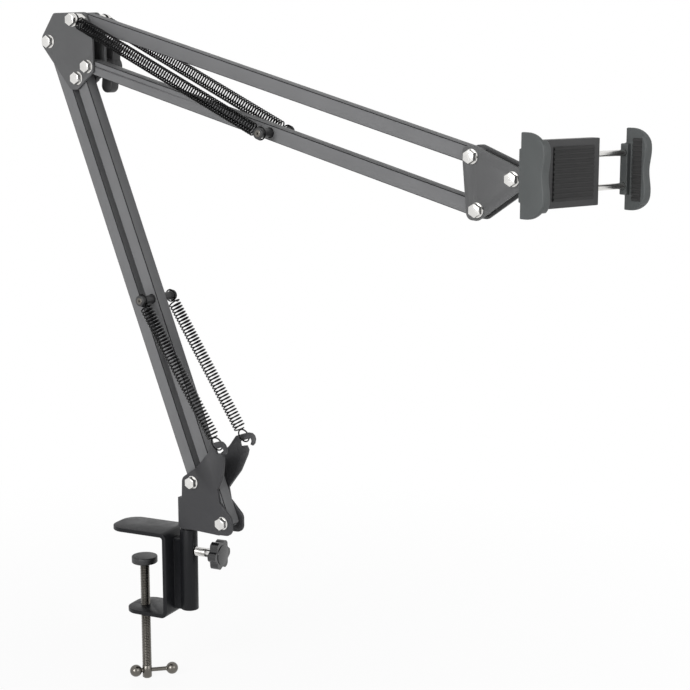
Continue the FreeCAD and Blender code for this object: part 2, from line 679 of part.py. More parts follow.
elbow_hub = cylinder("elbow_knob_hub", "Sizes.elbow_hub_radius", "Sizes.elbow_hub_length + Sizes.hub_overlap", hub_place)
elbow_bore = cylinder("elbow_knob_bore", "Sizes.bar_hole", "Sizes.elbow_hub_length + Sizes.elbow_knob_depth - Sizes.knob_bore_end",
                      hub_place)
keep(cut("elbow_knob_all", fuse("elbow_knob_solid", [elbow_star, elbow_wing, elbow_hub]), elbow_bore), "elbow_knob")

# Spring pegs through the bars
doc.recompute()
for stem in ("lower_peg", "upper_peg"):
    rod = cylinder(stem + "_rod", "Sizes.bolt_radius", "2 * Sizes.stud_reach",
                   FreeCAD.Placement(spot(stem + "_x", stem + "_z", -val("stud_reach")), AWAY))
    rim_near = cylinder(stem + "_rim_near", "Sizes.peg_rim", "Sizes.peg_rim_thick",
                        FreeCAD.Placement(spot(stem + "_x", stem + "_z", -val("stud_reach")), AWAY))
    rim_far = cylinder(stem + "_rim_far", "Sizes.peg_rim", "Sizes.peg_rim_thick",
                       FreeCAD.Placement(spot(stem + "_x", stem + "_z", val("stud_reach")), NEAR))
    keep(fuse(stem + "_all", [rod, rim_near, rim_far]), stem)


def ring_wire(centre, first, second, radius, sides, shift=0.0):
    """A closed polygon about a centre in the plane of two directions."""
    spots = []
    for number in range(sides):
        angle = 2 * math.pi * (number + shift) / sides
        spots.append(centre + first * (radius * math.cos(angle)) + second * (radius * math.sin(angle)))
    spots.append(spots[0])
    return Part.makePolygon(spots)


def loop_solid(centre, axis, along):
    """The wire loop at a spring's end, about an axis."""
    across = axis.cross(along)
    wire = val("loop_wire")
    outer = Part.Face(ring_wire(centre - axis * wire, along, across, val("loop_radius") + wire, 14))
    inner = Part.Face(ring_wire(centre - axis * wire, along, across, val("loop_radius") - wire, 14))
    return outer.cut(inner).extrude(axis * (2 * wire))


def spring(label, start, end, start_axis, ribs):
    """A close-wound spring between two loops, its turns as facetted ribs."""
    along = (end - start).normalize()
    side = VEC(0, 1, 0)
    other = along.cross(side).normalize()
    reach = start.distanceToPoint(end)
    turns_from = val("coil_start")
    length = reach - 2 * turns_from
    steps = [(val("loop_radius"), val("neck_wire")), (turns_from, val("neck_wire"))]
    for number in range(2 * ribs + 1):
        radius = val("spring_radius") if number % 2 else val("spring_root")
        steps.append((turns_from + length * (number + 0.1) / (2 * ribs + 0.2), radius))
    steps += [(reach - turns_from, val("neck_wire")), (reach - val("loop_radius"), val("neck_wire"))]
    wires = [ring_wire(start + along * far, side, other, radius, 8, 0.5) for far, radius in steps]
    core = Part.makeLoft(wires, True, True)
    first = loop_solid(start, start_axis, along)
    last = loop_solid(end, VEC(0, 1, 0), along)
    obj = doc.addObject("Part::Feature", label)
    obj.Shape = core.fuse([first, last]).removeSplitter()
    return keep(obj, label)


doc.recompute()
for tag, sign, ear_body in (("near", -1.0, ear_near), ("far", 1.0, ear_far)):
    hook = ear_body.Placement.multVec(VEC(val("hook_x"), val("hook_z"), val("plate_thick") / 2))
    low_end = spot("lower_peg_x", "lower_peg_z", sign * val("spring_offset"))
    run = (low_end - hook).normalize()
    hook_axis = VEC(run.z, 0, -run.x).normalize()
    spring("lower_spring_" + tag, hook, low_end, hook_axis, int(val("lower_ribs")))
    top = spot("elbow_top_x", "elbow_top_z", sign * val("spring_offset"))
    far_end = spot("upper_peg_x", "upper_peg_z", sign * val("spring_offset"))
    spring("upper_spring_" + tag, top, far_end, VEC(0, 1, 0), int(val("upper_ribs")))

# Clamp frame: bent plate with its post tube welded on
doc.recompute()
CLAMP_CORNERS = [("tongue_tip", "under_tongue"), ("web_inner", "under_tongue"), ("web_inner", "lip_top"),
                 ("lip_tip", "lip_top"), ("lip_tip", "lip_bottom"), ("web_outer", "lip_bottom"),
                 ("web_outer", "tongue_thick"), ("tongue_tip", "tongue_thick")]
half_width = val("clamp_width") / 2
clamp_place = FreeCAD.Placement(CLAMP_ROT.multVec(VEC(0, half_width, 0)), CLAMP_ROT.multiply(ARM_ROT))
clamp_body = doc.addObject("PartDesign::Body", "clamp_plate")


def clamp_sketch():
    """The clamp's C profile; corners on the tongue's underside lie on the sketch's X axis."""
    sketch = clamp_body.newObject("Sketcher::SketchObject", "clamp_profile")
    spots = [VEC(val(x), val(z), 0) for x, z in CLAMP_CORNERS]
    count = len(spots)
    for index in range(count):
        sketch.addGeometry(Part.LineSegment(spots[index], spots[(index + 1) % count]), False)
    for index in range(count):
        sketch.addConstraint(Sketcher.Constraint("Coincident", index, 2, (index + 1) % count, 1))
    for index, (x, z) in enumerate(CLAMP_CORNERS):
        where = sketch.addConstraint(Sketcher.Constraint("DistanceX", -1, 1, index, 1, val(x)))
        sketch.setExpression("Constraints[%d]" % where, "Sizes." + x)
        if z == "under_tongue":
            sketch.addConstraint(Sketcher.Constraint("PointOnObject", index, 1, -1))
            continue
        where = sketch.addConstraint(Sketcher.Constraint("DistanceY", -1, 1, index, 1, val(z)))
        sketch.setExpression("Constraints[%d]" % where, "Sizes." + z)
    return sketch


clamp_pad = clamp_body.newObject("PartDesign::Pad", "clamp_pad")
clamp_pad.Profile = clamp_sketch()
clamp_pad.setExpression("Length", "Sizes.clamp_width")
doc.recompute()


def edges_where(shape, test):
    """Names of the straight edges whose two ends pass a test."""
    names = []
    for number, edge in enumerate(shape.Edges, 1):
        if len(edge.Vertexes) == 2 and test(edge.Vertexes[0].Point, edge.Vertexes[1].Point):
            names.append("Edge%d" % number)
    return names


def same(a, b):
    """Two lengths agree."""
    return abs(a - b) < 1e-5


bends = clamp_body.newObject("PartDesign::Fillet", "clamp_bends")
bends.Base = (clamp_pad, edges_where(clamp_pad.Shape, lambda a, b: same(a.x, val("web_outer"))
                                     and same(b.x, val("web_outer")) and same(a.y, b.y)))
bends.setExpression("Radius", "Sizes.bend_radius")
doc.recompute()
folds = clamp_body.newObject("PartDesign::Fillet", "clamp_folds")
folds.Base = (bends, edges_where(bends.Shape, lambda a, b: same(a.x, val("web_inner"))
                                 and same(b.x, val("web_inner")) and same(a.y, b.y)))
folds.setExpression("Radius", "Sizes.bend_inner")
doc.recompute()
tips = clamp_body.newObject("PartDesign::Fillet", "clamp_tips")
tips.Base = (folds, edges_where(folds.Shape, lambda a, b: same(a.x, b.x) and same(a.z, b.z) and not same(a.y, b.y)
                                and (same(a.x, val("tongue_tip")) or same(a.x, val("lip_tip")))))
tips.setExpression("Radius", "Sizes.tongue_corner")
clamp_body.Placement = clamp_place
doc.recompute()


def at_clamp(x, y, z, turn=None):
    """Placement in the clamp's own frame."""
    rotation = CLAMP_ROT if turn is None else CLAMP_ROT.multiply(turn)
    return FreeCAD.Placement(CLAMP_ROT.multVec(VEC(x, y, z)), rotation)


OUT = FreeCAD.Rotation(VEC(0, 0, 1), VEC(1, 0, 0))
tube_top = val("tongue_thick") + val("tube_stand")
tube = cylinder("post_tube", "Sizes.tube_radius", "Sizes.tube_length",
                at_clamp(val("post_from_mount"), 0, tube_top - val("tube_length")))
bore = cylinder("post_bore", "Sizes.tube_bore", "Sizes.tube_length + 2",
                at_clamp(val("post_from_mount"), 0, tube_top - val("tube_length") - 1))
lip_hole = cylinder("lip_hole", "Sizes.screw_hole", "Sizes.tongue_thick + 2", at_clamp(0, 0, val("lip_bottom") - 1))
lock_hole = cylinder("lock_hole", "Sizes.lock_radius + Sizes.pivot_play", "Sizes.tube_radius + 4",
                     at_clamp(val("post_from_mount"), 0, -val("lock_height"), OUT))
rib = box("weld_rib", "Sizes.web_from_post + Sizes.weld_depth", "Sizes.weld_rib",
          "Sizes.tube_length - Sizes.tube_stand - 2 * Sizes.tongue_thick",
          at_clamp(val("web_outer") - val("weld_depth"), -val("weld_rib") / 2, tube_top - val("tube_length")))
frame_solid = fuse("clamp_solid", [clamp_body, tube, rib])
frame_holes = fuse("clamp_holes", [bore, lip_hole, lock_hole])
keep(cut("clamp_frame_all", frame_solid, frame_holes), "clamp_frame")

# Lock screw and its knob
doc.recompute()
lock_shank = cylinder("lock_shank", "Sizes.lock_radius", "Sizes.lock_length",
                      at_clamp(val("post_from_mount") + val("lock_tip"), 0, -val("lock_height"), OUT))
keep(lock_shank, "lock_screw")
lock_place = at_clamp(val("post_from_mount") + val("lock_knob_at"), 0, -val("lock_height"), OUT)
lock_star = star("lock_knob", "Sizes.lock_core", "Sizes.lock_lobe", val("lock_lobe_at"), "Sizes.knob_depth",
                 lock_place, int(val("knob_lobes")))
lock_cap = cylinder("lock_knob_cap", "Sizes.lock_cap", "Sizes.knob_depth + Sizes.lock_cap_thick", lock_place)
lock_bore = cylinder("lock_knob_bore", "Sizes.lock_radius", "Sizes.lock_depth",
                     lock_place)
keep(cut("lock_knob_all", fuse("lock_knob_solid", [lock_star, lock_cap]), lock_bore), "lock_knob")

# Clamp screw, pressure pad and tommy bar
doc.recompute()
pad_disc = cylinder("pad_disc", "Sizes.pad_radius", "Sizes.pad_height", at_clamp(0, 0, val("pad_bottom")))
pad_hole = cylinder("pad_hole", "Sizes.screw_hole", "Sizes.pad_socket + 1", at_clamp(0, 0, val("pad_bottom") - 1))
keep(cut("pressure_pad_all", pad_disc, pad_hole), "pressure_pad")
TOMMY_ROT = FreeCAD.Rotation(UP, val("tommy_turn"))
ALONG = TOMMY_ROT.multiply(OUT)
tommy_dir = TOMMY_ROT.multVec(VEC(1, 0, 0))
tommy_at = VEC(0, 0, val("tommy_z"))
screw_rod = cylinder("screw_rod", "Sizes.screw_radius", "Sizes.screw_length",
                     FreeCAD.Placement(VEC(0, 0, val("screw_foot")), FreeCAD.Rotation()))
cross_hole = cylinder("cross_hole", "Sizes.tommy_radius + Sizes.pivot_play", "4 * Sizes.screw_radius",
                      FreeCAD.Placement(tommy_at - tommy_dir * (2 * val("screw_radius")), ALONG))
keep(cut("clamp_screw_all", screw_rod, cross_hole), "clamp_screw")
tommy_rod = cylinder("tommy_rod", "Sizes.tommy_radius", "Sizes.tommy_span",
                     FreeCAD.Placement(tommy_at + tommy_dir * val("tommy_start"), ALONG))
ball_left = ball("tommy_ball_left", "Sizes.tommy_ball",
                 FreeCAD.Placement(tommy_at + tommy_dir * val("tommy_start"), ALONG))
ball_right = ball("tommy_ball_right", "Sizes.tommy_ball",
                  FreeCAD.Placement(tommy_at + tommy_dir * (val("tommy_start") + val("tommy_span")), ALONG))
keep(fuse("tommy_bar_all", [tommy_rod, ball_left, ball_right]), "tommy_bar")

# Nose link and ball stud
doc.recompute()
LINK_CORNERS = [("link_x_low", "link_z_low"), ("link_x_high", "link_z_low"),
                ("link_x_high", "link_z_high"), ("link_x_low", "link_z_high")]
link_body = plate("nose_link_block", LINK_CORNERS, "bar_width", at_arm(val("half_bar")),
                  [("nose_x", "nose_z", "bar_hole")], "link_round", (1, 2))
link_bore = cylinder("nose_link_bore", "Sizes.stud_shank + Sizes.pivot_play", "Sizes.link_front",
                     FreeCAD.Placement(spot("nose_x", "nose_z") + VEC(val("stud_seat"), 0, 0), OUT))
keep(cut("nose_link_all", link_body, link_bore), "nose_link")
stud_base = spot("nose_x", "nose_z")
stud_root = cylinder("stud_root", "Sizes.stud_shank", "Sizes.link_front - Sizes.stud_seat",
                     FreeCAD.Placement(stud_base + VEC(val("stud_seat") + val("stud_gap"), 0, 0), OUT))
stud_rim = cylinder("stud_rim", "Sizes.stud_flange", "Sizes.stud_flange_thick",
                    FreeCAD.Placement(stud_base + VEC(val("link_front") + val("stud_gap"), 0, 0), OUT))
stud_neck = cylinder("stud_neck", "Sizes.neck_radius", "Sizes.ball_from_nose - Sizes.link_front",
                     FreeCAD.Placement(stud_base + VEC(val("link_front"), 0, 0), OUT))
stud_ball = ball("stud_ball", "Sizes.ball_radius", FreeCAD.Placement(HOLDER_AT, OUT))
keep(fuse("ball_stud_all", [stud_root, stud_rim, stud_neck, stud_ball]), "ball_stud")


def at_holder(n, w, z, turn=None):
    """Placement in the holder's frame: n out of its face, w across it, z up."""
    rotation = HOLDER_ROT if turn is None else HOLDER_ROT.multiply(turn)
    return FreeCAD.Placement(HOLDER_AT + HOLDER_ROT.multVec(VEC(n, w, z)), rotation)


ACROSS = FreeCAD.Rotation(VEC(0, 0, 1), VEC(0, 1, 0))
# Collar nut
doc.recompute()
collar_ring = prism("collar_ring", "Sizes.collar_radius", "Sizes.collar_front - Sizes.collar_back",
                    at_holder(val("collar_back"), 0, 0, OUT), 16)
collar_bore = cylinder("collar_bore", "Sizes.socket_radius + Sizes.pivot_play",
                       "Sizes.collar_front - Sizes.collar_shelf + 1", at_holder(val("collar_shelf"), 0, 0, OUT))
collar_cone = cone("collar_cone", "Sizes.collar_mouth", "Sizes.collar_throat",
                   "Sizes.collar_shelf - Sizes.collar_back", at_holder(val("collar_back"), 0, 0, OUT))
keep(cut("collar_all", collar_ring, fuse("collar_tools", [collar_bore, collar_cone])), "collar_nut")

# Holder back with its ball socket and rod holes
doc.recompute()
back_box = box("back_box", "Sizes.back_far - Sizes.back_near", "Sizes.back_right - Sizes.back_left",
               "Sizes.back_height", at_holder(val("back_near"), val("back_left"), val("back_low")))
socket = cylinder("socket", "Sizes.socket_radius", "Sizes.back_near - Sizes.socket_back + Sizes.overlap",
                  at_holder(val("socket_back"), 0, 0, OUT))
cavity = ball("socket_cavity", "Sizes.ball_radius + Sizes.ball_play", at_holder(0, 0, 0))
rod_tools = []
for tag, sign in (("low", -0.5), ("high", 0.5)):
    rod_tools.append(cylinder("rod_hole_" + tag, "Sizes.rod_radius + Sizes.pivot_play",
                              "Sizes.back_right - Sizes.back_left",
                              at_holder(val("rod_line"), val("back_left") + val("rod_hole_end"),
                                        val("phone_lift") + sign * val("rod_spacing"), ACROSS)))
keep(cut("holder_back_all", fuse("holder_solid", [back_box, socket]), fuse("holder_tools", [cavity] + rod_tools)),
     "holder_back")
doc.recompute()
rest = box("back_rest", "Sizes.pad_thick", "Sizes.rest_width", "Sizes.rest_height",
           at_holder(val("back_far"), val("rest_left"), val("phone_lift") - val("rest_height") / 2))
keep(rest, "back_pad")

# Jaws
WAVE_STEPS = 28
CORNER_UP = 0.18  # rounded front corners, as shares of the jaw's height
CORNER_DEEP = 0.26
for number in range(WAVE_STEPS + 1):
    up = 0.5 - 0.5 * math.cos(math.pi * number / WAVE_STEPS)
    hollow = 0.5 + 0.5 * math.cos(4 * math.pi * up)
    short = max(0.0, 1.0 - min(up, 1.0 - up) / CORNER_UP)
    fall = CORNER_DEEP * (1.0 - math.sqrt(1.0 - short ** 2))
    size("wave_z_%d" % number, "=jaw_low + %.6f * jaw_height" % up)
    size("wave_n_%d" % number, "=lip_inner + lip_thick - %.6f * lip_bulge - %.6f * jaw_height" % (hollow, fall))
doc.recompute()
JAW_CORNERS = [("jaw_back", "jaw_low")]
JAW_CORNERS += [("wave_n_%d" % n, "wave_z_%d" % n) for n in range(WAVE_STEPS + 1)]
JAW_CORNERS += [("jaw_back", "jaw_high")]
JAW_ROT = FreeCAD.Rotation(VEC(1, 0, 0), VEC(0, 0, 1), VEC(0, -1, 0), "XYZ")


def jaw(label, side):
    """One jaw: wall with a wavy in-turned lip, and foot; side is -1 for the fixed one and +1 for the sliding one."""
    start = val("wall_outer") if side > 0 else -val("lip_end")
    outside = plate(label + "_outside", JAW_CORNERS, "jaw_reach", at_holder(0, start, 0, JAW_ROT))
    open_side = val("lip_end") - 1 if side > 0 else -val("wall_inner")
    pocket = box(label + "_pocket", "Sizes.lip_inner - Sizes.jaw_back + 1", "Sizes.wall_inner - Sizes.lip_end + 1",
                 "Sizes.jaw_height + 2", at_holder(val("jaw_back") - 1, open_side, val("jaw_low") - 1))
    wall = cut(label + "_shell", outside, pocket)
    inner = val("foot_inner") if side > 0 else val("back_left")
    width = "Sizes.wall_outer - Sizes.foot_inner" if side > 0 else "Sizes.wall_outer + Sizes.back_left"
    foot_start = inner if side > 0 else -val("wall_outer")
    foot = box(label + "_foot", "Sizes.foot_thick", width, "Sizes.foot_height",
               at_holder(val("back_near") + val("foot_step"), foot_start, val("phone_lift") - val("foot_height") / 2))
    return fuse(label + "_solid", [wall, foot])


keep(jaw("fixed_jaw", -1), "fixed_jaw")
slider = jaw("sliding_jaw", 1)
slots = []
for tag, sign in (("low", -0.5), ("high", 0.5)):
    height = val("phone_lift") + sign * val("rod_spacing")
    slots.append(cylinder("slider_hole_" + tag, "Sizes.rod_radius + Sizes.bolt_fit",
                          "Sizes.wall_outer - Sizes.foot_inner - Sizes.rod_cover",
                          at_holder(val("rod_line"), val("foot_inner"), height, ACROSS)))
    rod = cylinder("rod_" + tag, "Sizes.rod_radius",
                   "Sizes.wall_outer - Sizes.rod_cover - Sizes.rod_inner_end",
                   at_holder(val("rod_line"), val("rod_inner_end"), height, ACROSS))
    keep(rod, "guide_rod_" + tag)
keep(cut("sliding_jaw_all", slider, fuse("slider_slots", slots)), "sliding_jaw")
doc.recompute()
for tag, start in (("fixed", -val("wall_inner")), ("sliding", val("half_gap"))):
    pad = box("grip_" + tag, "Sizes.grip_deep", "Sizes.grip_thick", "Sizes.grip_height",
              at_holder(val("grip_back"), start, val("phone_lift") - val("grip_height") / 2))
    keep(pad, tag + "_grip")

doc.recompute()
os.makedirs("parts", exist_ok=True)
for obj in doc.Objects:
    if "Invalid" in obj.State or "Error" in obj.State:
        raise RuntimeError("not built: %s %s" % (obj.Label, obj.State))
for node in nodes:
    if node.Shape.isNull() or not node.Shape.isValid():
        raise RuntimeError("bad shape: " + node.Label)
    node.Shape.exportStep("parts/%s.step" % node.Label)
    print(node.Label, len(node.Shape.Solids), round(node.Shape.Volume, 1))
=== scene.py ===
"""Looks of the overhead phone stand: finishes, broken edges, springs, threads, knobs and studio."""
import json
import math

import bmesh
import bpy
from mathutils import Matrix, Vector

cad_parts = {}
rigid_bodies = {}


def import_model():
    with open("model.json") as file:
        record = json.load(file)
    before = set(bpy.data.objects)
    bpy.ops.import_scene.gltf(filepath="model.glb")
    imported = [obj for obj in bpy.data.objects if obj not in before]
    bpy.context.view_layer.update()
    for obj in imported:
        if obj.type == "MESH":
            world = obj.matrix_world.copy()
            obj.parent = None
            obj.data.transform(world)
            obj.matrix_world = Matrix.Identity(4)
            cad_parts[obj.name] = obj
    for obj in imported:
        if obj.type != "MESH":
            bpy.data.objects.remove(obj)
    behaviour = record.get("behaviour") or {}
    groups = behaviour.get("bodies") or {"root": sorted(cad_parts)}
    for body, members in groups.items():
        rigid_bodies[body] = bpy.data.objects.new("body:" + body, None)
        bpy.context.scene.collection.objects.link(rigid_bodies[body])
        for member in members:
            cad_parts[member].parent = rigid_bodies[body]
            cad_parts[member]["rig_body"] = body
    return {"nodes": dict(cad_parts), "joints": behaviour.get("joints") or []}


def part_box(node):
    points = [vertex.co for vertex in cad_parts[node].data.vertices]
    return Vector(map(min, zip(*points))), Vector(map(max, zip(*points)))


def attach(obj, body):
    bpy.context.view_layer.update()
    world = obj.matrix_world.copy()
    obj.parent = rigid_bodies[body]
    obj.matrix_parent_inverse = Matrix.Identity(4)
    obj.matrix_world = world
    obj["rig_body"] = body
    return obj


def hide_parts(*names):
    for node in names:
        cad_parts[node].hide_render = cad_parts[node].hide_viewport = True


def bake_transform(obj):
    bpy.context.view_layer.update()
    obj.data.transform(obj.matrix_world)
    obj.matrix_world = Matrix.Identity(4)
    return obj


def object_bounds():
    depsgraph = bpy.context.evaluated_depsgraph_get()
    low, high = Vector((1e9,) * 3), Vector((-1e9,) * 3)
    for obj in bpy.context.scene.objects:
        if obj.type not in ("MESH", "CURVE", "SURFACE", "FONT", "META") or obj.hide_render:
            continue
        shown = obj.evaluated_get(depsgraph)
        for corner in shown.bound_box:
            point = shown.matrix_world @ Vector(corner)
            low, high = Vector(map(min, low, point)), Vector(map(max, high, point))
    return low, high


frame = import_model()
cad_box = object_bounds()

MM = 0.001
FULL_TURN = 2.0 * math.pi
SIDEWAYS = Vector((0.0, 1.0, 0.0))
UPWARDS = Vector((0.0, 0.0, 1.0))


# Places read from the frame

def middle(node):
    """Middle of a CAD piece's box."""
    low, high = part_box(node)
    return (low + high) / 2


def body_of(node):
    """Name of the body that carries a CAD piece."""
    return frame["nodes"][node]["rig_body"]


def joint(name):
    """One joint of the record by its name."""
    return next(j for j in frame["joints"] if j["name"] == name)


ARM_Y = middle("lower_rear_bar").y


def pivot(node, depth=0.0):
    """A pivot's point in the arm's plane, taken from its bolt, and moved sideways by a depth."""
    centre = middle(node)
    return Vector((centre.x, ARM_Y + depth, centre.z))


# Finishes

def start_finish(name, metal=0.0, coat=0.0, coat_rough=0.1):
    """A new finish with the values that are the same all over it."""
    material = bpy.data.materials.new(name)
    material.use_nodes = True
    nodes = material.node_tree.nodes
    shader = nodes["Principled BSDF"]
    shader.inputs["Metallic"].default_value = metal
    shader.inputs["Coat Weight"].default_value = coat
    shader.inputs["Coat Roughness"].default_value = coat_rough
    return material, nodes, material.node_tree.links, shader


def grain(nodes, links, scale, detail=3.0, stretch=None):
    """Noise on the piece's own coordinates; stretch draws it out along an axis."""
    coords = nodes.new("ShaderNodeTexCoord")
    noise = nodes.new("ShaderNodeTexNoise")
    noise.inputs["Scale"].default_value = scale
    noise.inputs["Detail"].default_value = detail
    if stretch is None:
        links.new(coords.outputs["Object"], noise.inputs["Vector"])
        return noise.outputs["Fac"]
    mapping = nodes.new("ShaderNodeMapping")
    mapping.inputs["Scale"].default_value = stretch
    links.new(coords.outputs["Object"], mapping.inputs["Vector"])
    links.new(mapping.outputs["Vector"], noise.inputs["Vector"])
    return noise.outputs["Fac"]


def spread(nodes, links, value, low, high, out_low, out_high):
    """Map one range of a value to another."""
    remap = nodes.new("ShaderNodeMapRange")
    remap.inputs["From Min"].default_value = low
    remap.inputs["From Max"].default_value = high
    remap.inputs["To Min"].default_value = out_low
    remap.inputs["To Max"].default_value = out_high
    links.new(value, remap.inputs["Value"])
    return remap.outputs["Result"]


def larger(nodes, links, first, second):
    """The larger of two values."""
    pick = nodes.new("ShaderNodeMath")
    pick.operation = "MAXIMUM"
    links.new(first, pick.inputs[0])
    links.new(second, pick.inputs[1])
    return pick.outputs[0]


def tinted(nodes, links, share, colour, tint):
    """A colour that gives way to a tint by a share."""
    mix = nodes.new("ShaderNodeMix")
    mix.data_type = "RGBA"
    links.new(share, mix.inputs[0])
    links.new(colour, mix.inputs[6])
    mix.inputs[7].default_value = (*tint, 1.0)
    return mix.outputs[2]


def shades(nodes, links, value, dark, light):
    """Colour that goes from dark to light with a value."""
    ramp = nodes.new("ShaderNodeValToRGB")
    ramp.color_ramp.elements[0].position = 0.3
    ramp.color_ramp.elements[0].color = (*dark, 1.0)
    ramp.color_ramp.elements[1].position = 0.7
    ramp.color_ramp.elements[1].color = (*light, 1.0)
    links.new(value, ramp.inputs["Fac"])
    return ramp.outputs["Color"]


def edge_highlight_and_shade(nodes, links, colour, edge_colour, amount, reach, even=0.25):
    """Painted highlight or painted shade along edges where the surface turns sharply: an edge colour, broken
    up by noise, less so where it is more even.
    """
    shape = nodes.new("ShaderNodeNewGeometry")
    softened = nodes.new("ShaderNodeBevel")
    softened.samples = 4
    softened.inputs["Radius"].default_value = reach
    agree = nodes.new("ShaderNodeVectorMath")
    agree.operation = "DOT_PRODUCT"
    links.new(softened.outputs["Normal"], agree.inputs[0])
    links.new(shape.outputs["Normal"], agree.inputs[1])
    # edge mask: where the painted edge highlight (lighter edge colour) or painted edge shade (darker edge
    # colour) goes
    edge_mask = spread(nodes, links, agree.outputs["Value"], 0.99, 0.86, 0.0, amount)
    patch = spread(nodes, links, grain(nodes, links, 260.0), 0.4, 0.65, even, 1.0)
    both = nodes.new("ShaderNodeMath")
    both.operation = "MULTIPLY"
    both.use_clamp = True
    links.new(edge_mask, both.inputs[0])
    links.new(patch, both.inputs[1])
    return tinted(nodes, links, both.outputs[0], colour, edge_colour)


def relief(nodes, links, shader, height, strength, depth):
    """Raise the surface by a height, with its strength and its depth in metres."""
    bump = nodes.new("ShaderNodeBump")
    bump.inputs["Strength"].default_value = strength
    bump.inputs["Distance"].default_value = depth
    links.new(height, bump.inputs["Height"])
    links.new(bump.outputs["Normal"], shader.inputs["Normal"])


def times(colour, factor):
    """A colour made darker or lighter."""
    return tuple(min(1.0, c * factor) for c in colour)


def powder_coat(name, colour, rough, edge_colour, edge_amount, shine, reach=0.7 * MM, even=0.25):
    """Satin powder coat: cloudy tone, fine orange peel, and a painted edge highlight or painted edge shade,
    set by its edge colour.
    """
    material, nodes, links, shader = start_finish(name)
    shader.inputs["Specular IOR Level"].default_value = shine
    cloud = grain(nodes, links, 24.0, 4.0)
    tone = shades(nodes, links, cloud, times(colour, 0.95), times(colour, 1.05))
    # edges: painted highlight where the edge colour is lighter than the paint, painted shade where it is
    # darker
    edged = edge_highlight_and_shade(nodes, links, tone, edge_colour, edge_amount, reach, even)
    links.new(edged, shader.inputs["Base Color"])
    smear = grain(nodes, links, 140.0, 4.0)
    links.new(spread(nodes, links, smear, 0.3, 0.7, rough - 0.06, rough + 0.07), shader.inputs["Roughness"])
    peel = grain(nodes, links, 1500.0, 2.0)
    relief(nodes, links, shader, peel, 0.3, 0.1 * MM)
    return material


# attribute marking the inside of a coil, which the plated finish paints dark as shade
INSIDE = "inside_of_coil"


def plated(name, colour, rough, shade_colour):
    """Plated or oiled metal: hairline marks, cloudy sheen, and painted shade that darkens its hollows and the
    inside of a coil.
    """
    material, nodes, links, shader = start_finish(name, metal=1.0)
    cloud = grain(nodes, links, 90.0, 5.0)
    tone = shades(nodes, links, cloud, times(colour, 0.84), colour)
    shape = nodes.new("ShaderNodeNewGeometry")
    hollow = spread(nodes, links, shape.outputs["Pointiness"], 0.40, 0.49, 0.75, 0.0)
    inside = nodes.new("ShaderNodeAttribute")
    inside.attribute_name = INSIDE
    # painted shade: hollows and the inside of a coil turn towards the shade colour
    painted_shade = larger(nodes, links, hollow, inside.outputs["Fac"])
    links.new(tinted(nodes, links, painted_shade, tone, shade_colour), shader.inputs["Base Color"])
    links.new(spread(nodes, links, cloud, 0.3, 0.7, rough - 0.05, rough + 0.08), shader.inputs["Roughness"])
    hairline = grain(nodes, links, 420.0, 2.0, (1.0, 1.0, 9.0))
    relief(nodes, links, shader, hairline, 0.12, 0.05 * MM)
    return material


def moulded(name, colour, rough, pebble, depth, coat=0.0):
    """Moulded plastic: even tone, pebbled skin, and a slightly lighter colour along its edges as a painted
    highlight.
    """
    material, nodes, links, shader = start_finish(name, coat=coat, coat_rough=0.06)
    cloud = grain(nodes, links, 40.0, 3.0)
    tone = shades(nodes, links, cloud, times(colour, 0.9), times(colour, 1.1))
    # edges lightened as a painted highlight
    links.new(edge_highlight_and_shade(nodes, links, tone, times(colour, 1.7), 0.35, 0.9 * MM), shader.inputs["Base Color"])
    links.new(spread(nodes, links, cloud, 0.3, 0.7, rough - 0.05, rough + 0.06), shader.inputs["Roughness"])
    skin = grain(nodes, links, pebble, 2.0)
    relief(nodes, links, shader, skin, 0.3, depth)
    return material


BAR_GREY = (0.175, 0.176, 0.180)
PLATE_GREY = (0.100, 0.101, 0.103)
FORK_GREY = (0.044, 0.044, 0.047)
CLAMP_BLACK = (0.010, 0.0105, 0.012)
# EDGE_BLACK: painted shade along the bars' edges
EDGE_BLACK = (0.006, 0.006, 0.0065)
